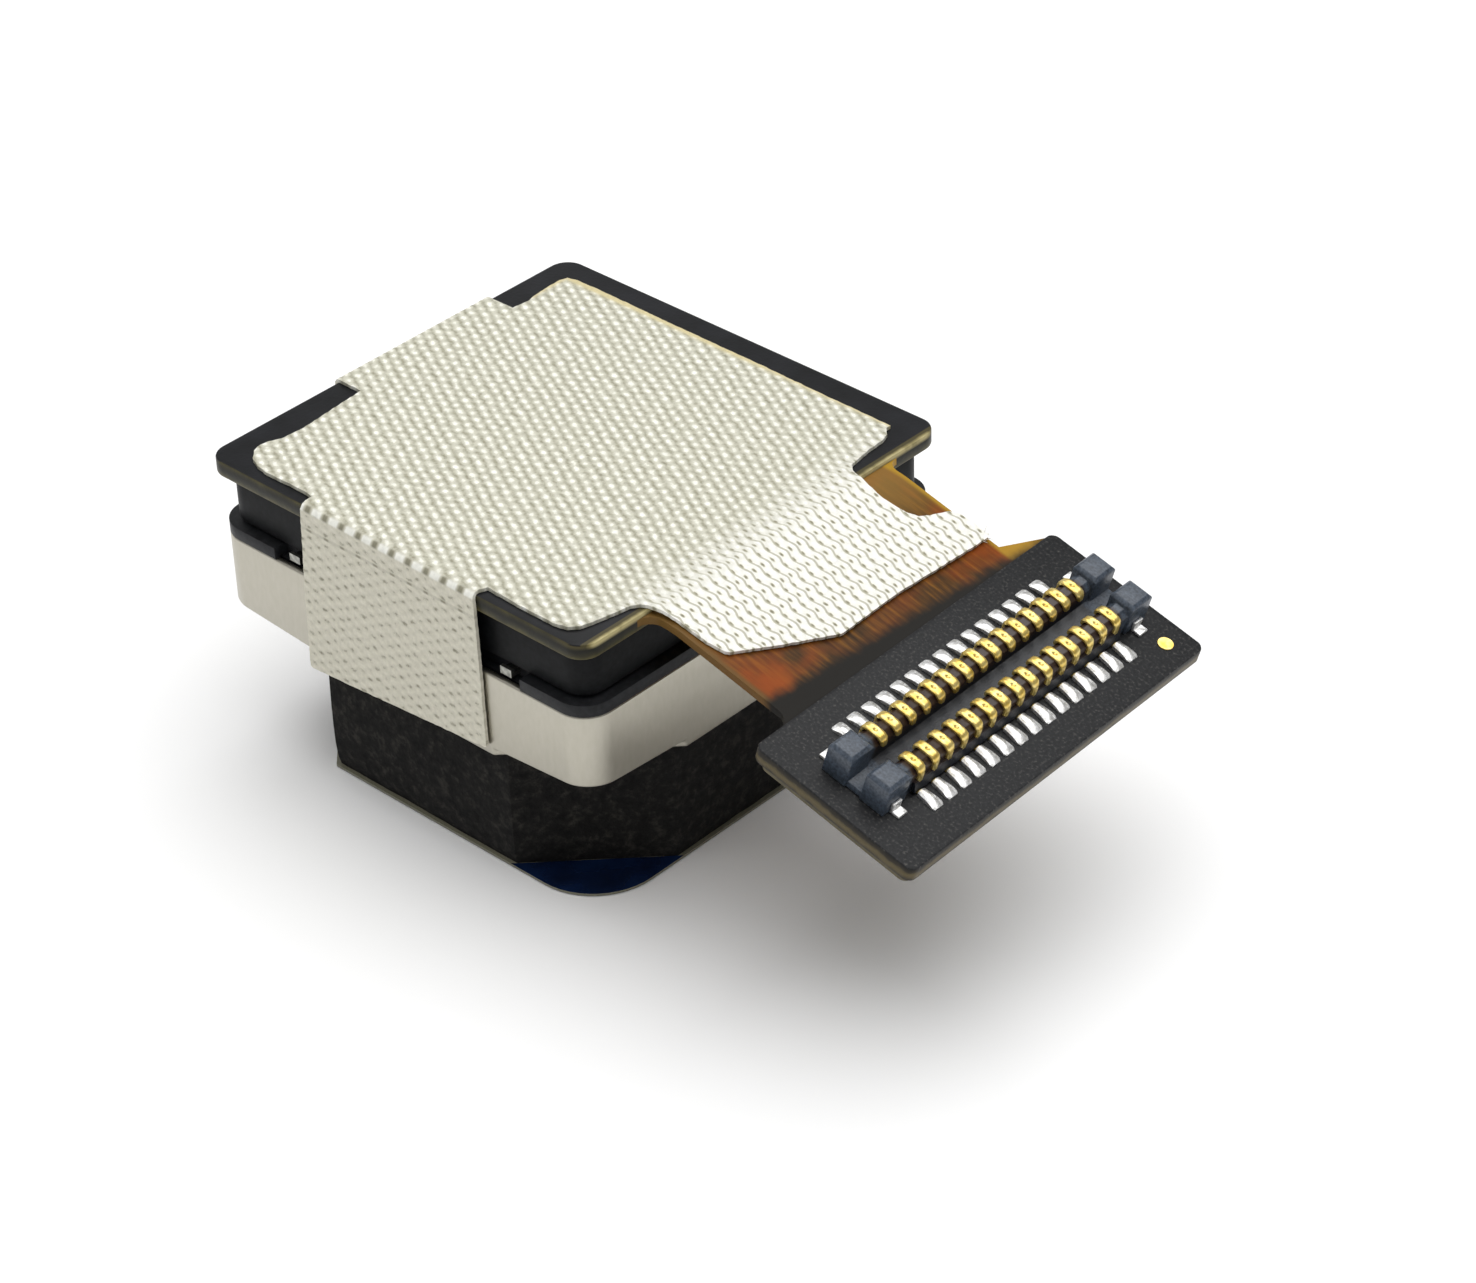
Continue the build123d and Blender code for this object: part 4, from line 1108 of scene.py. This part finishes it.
# Painted light: a band of bright knots along the fold as a highlight, and a darker dotted line in the crease
# below it as shade.
for middle, half_width, sharp, dark, light in (
    (-4.86, 0.055, 0.030, "#7A765F", "#FFFFF6"),
    (-5.30, 0.030, 0.020, "#8B8772", "#C9C5B4"),
):
    off = add(tree, "Math", [down, middle], operation="SUBTRACT")
    off = add(tree, "Math", [off], operation="ABSOLUTE")
    band = add(
        tree,
        "MapRange",
        [off, half_width - sharp, half_width + sharp, 0.9, 0.0],
        interpolation_type="SMOOTHSTEP",
    )
    fold_highlight_and_crease_shade = color_of(knots, {0.05: dark, 0.30: "#C4C1AE", 0.6: light, 1.0: light})
    cloth_color = add(tree, "Mix", {0: band, 6: cloth_color, 7: fold_highlight_and_crease_shade}, 2, data_type="RGBA")
fringe_mix = add(tree, "Attribute", out="Fac", attribute_name="fringe_share")
cloth_color = add(tree, "Mix", {0: fringe_mix, 6: cloth_color, 7: "#D8CB9C"}, 2, data_type="RGBA")
fibre = add(tree, "TexNoise", {"Vector": flat_mm, "Scale": 14.0, "Detail": 3.0})
soil = add(tree, "MapRange", [fibre, 0.3, 0.7, 0.9, 1.04])
soiled = add(tree, "VectorMath", {0: cloth_color, "Scale": soil}, operation="SCALE")
end_material(shader, soiled, threads, 0.7, 0.02)
dress(tape, cloth)
tape.data.materials.append(mottled("black_acrylic_adhesive", "#141310", "#2E2B24", 0.1, Roughness=0.6))
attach(tape, "module")
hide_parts("fabric_tape")


# Lens unit and what is hidden in the module: the moulded lens elements in their barrel, the
# coil on its carrier between the leaf springs, the magnets, and the sensor behind its filter.

barrel_black = mottled("matt_black_polycarbonate", "#101113", "#1D1E21", 0.2, 0.006, Roughness=0.6)
carrier_black = mottled("black_moulded_carrier", "#17181B", "#26282C", 0.2, 0.006, Roughness=0.5)
lens_plastic = mottled(
    "clear_cyclic_olefin", "#F4F8FA", "#FFFFFF", 1.0, Roughness=0.02, IOR=1.53, Transmission_Weight=1.0
)
filter_glass = mottled(
    "infrared_filter_glass", "#CFE6E2", "#DDF0EC", 1.0, Roughness=0.01, IOR=1.52, Transmission_Weight=0.9
)
copper_wire = mottled(
    "enamelled_copper_wire", "#8A3F1D", "#C9743C", 0.06, 0.02, Metallic=1.0, Roughness=0.32
)
nickel_plate = mottled("bright_nickel_plate", "#9DA0A2", "#C4C6C8", 0.2, 0.004, Metallic=1.0, Roughness=0.25)
silicon_die = mottled("silicon_with_color_filters", "#2B3340", "#45505E", 0.3, Roughness=0.2)
ceramic = mottled("tan_ceramic", "#8A7354", "#A68E6B", 0.1, 0.004, Roughness=0.45)
chip_silicon = mottled("bare_silicon_back", "#4A4E57", "#6A6F78", 0.3, Roughness=0.25, Metallic=0.6)
for finish, nodes in (
    (barrel_black, ["lens_barrel", "lens_retainer", "light_masks"]),
    (carrier_black, ["lens_carrier", "spring_spacers"]),
    (lens_plastic, [f"lens_element_{number}" for number in range(1, 6)]),
    (filter_glass, ["infrared_filter"]),
    (copper_wire, ["voice_coil"]),
    (nickel_plate, ["coil_magnets"]),
    (silicon_die, ["image_sensor"]),
    (gold, ["bond_wires"]),
    (ceramic, ["board_capacitors"]),
    (chip_silicon, ["driver_chip"]),
):
    for node in nodes:
        dress(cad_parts[node], finish)


# Leaf springs. Each is etched in one piece from thin copper alloy: the frame is clamped in the
# module, the ring is bonded to the carrier, and a folded arm at each corner joins them and
# bends as the carrier slides. Here the frame, ring and arms are pieces of their own, and the
# arms are left flat.

sheet_thickness = 0.04
frame_half = (4.715, 4.59)
frame_open = (4.265, 4.14)
frame_leg = 0.64
ring_half = 3.75
ring_leg = 1.60
ring_bore = 3.20
ring_end = 4.172
arm_span = 1.319
arm_half_width = 0.05
arm_inset = 0.005
arm_step = 0.05
arm_angle = 44.148
bend_from = 0.68
bend_to = 0.32
beryllium_copper = mottled(
    "etched_copper_alloy", "#A9683A", "#C98E57", 0.15, 0.004, Metallic=1.0, Roughness=0.3
)
arm_turns = [
    (1.15, 0.0), (0.72, 0.0), (0.72, 0.38), (0.46, 0.38),
    (0.46, -0.60), (0.20, -0.60), (0.20, 0.0), (-0.15, 0.0),
]
corners = [Vector((ring_end + out * arm_span, across * arm_span)) for out, across in arm_turns]
legs = [(two - one).normalized() for one, two in zip(corners, corners[1:])]
one_edge = []
other_edge = []
for index, corner in enumerate(corners):
    normals = [Vector((-leg.y, leg.x)) for leg in legs[max(index - 1, 0):index + 1]]
    shift = sum(normals, Vector((0, 0))) * arm_half_width
    one_edge.append(corner + shift)
    other_edge.append(corner - shift)
arm_outline = []
for edge in (one_edge, other_edge[::-1]):
    for one, two in zip(edge, edge[1:]):
        parts = max(1, round((two - one).length / arm_step))
        arm_outline += [one.lerp(two, i / parts) for i in range(parts)]
    arm_outline.append(edge[-1])

frame_outlines = [octagon(*frame_half, frame_leg), octagon(*frame_open, frame_leg)]
ring_outlines = [octagon(ring_half, ring_half, ring_leg), circle(ring_bore)]
for name, level in (("front_spring", 3.27), ("rear_spring", 4.18)):
    level_top = level + sheet_thickness
    frame_piece = flat_sheet(name + "_frame", frame_outlines, level, level_top)
    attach(frame_piece, "module")
    ring_piece = flat_sheet(name + "_ring", ring_outlines, level, level_top)
    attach(ring_piece, "lens_unit")
    leaves = [frame_piece, ring_piece]
    corner_angles = (arm_angle, 180 - arm_angle, 180 + arm_angle, 360 - arm_angle)
    for number, degrees in enumerate(corner_angles, 1):
        toward = Vector((cos(radians(degrees)), sin(radians(degrees))))
        across = Vector((-toward.y, toward.x))
        outline = [toward * p.x + across * p.y for p in arm_outline]
        arm = flat_sheet(f"{name}_arm_{number}", [outline], level + arm_inset, level_top - arm_inset)
        start, end = [toward * (ring_end + share * arm_span) * MM for share in (bend_from, bend_to)]
        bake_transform(arm)
        leaves.append(arm)
    for leaf in leaves:
        dress(leaf, beryllium_copper)
        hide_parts(name)


low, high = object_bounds()
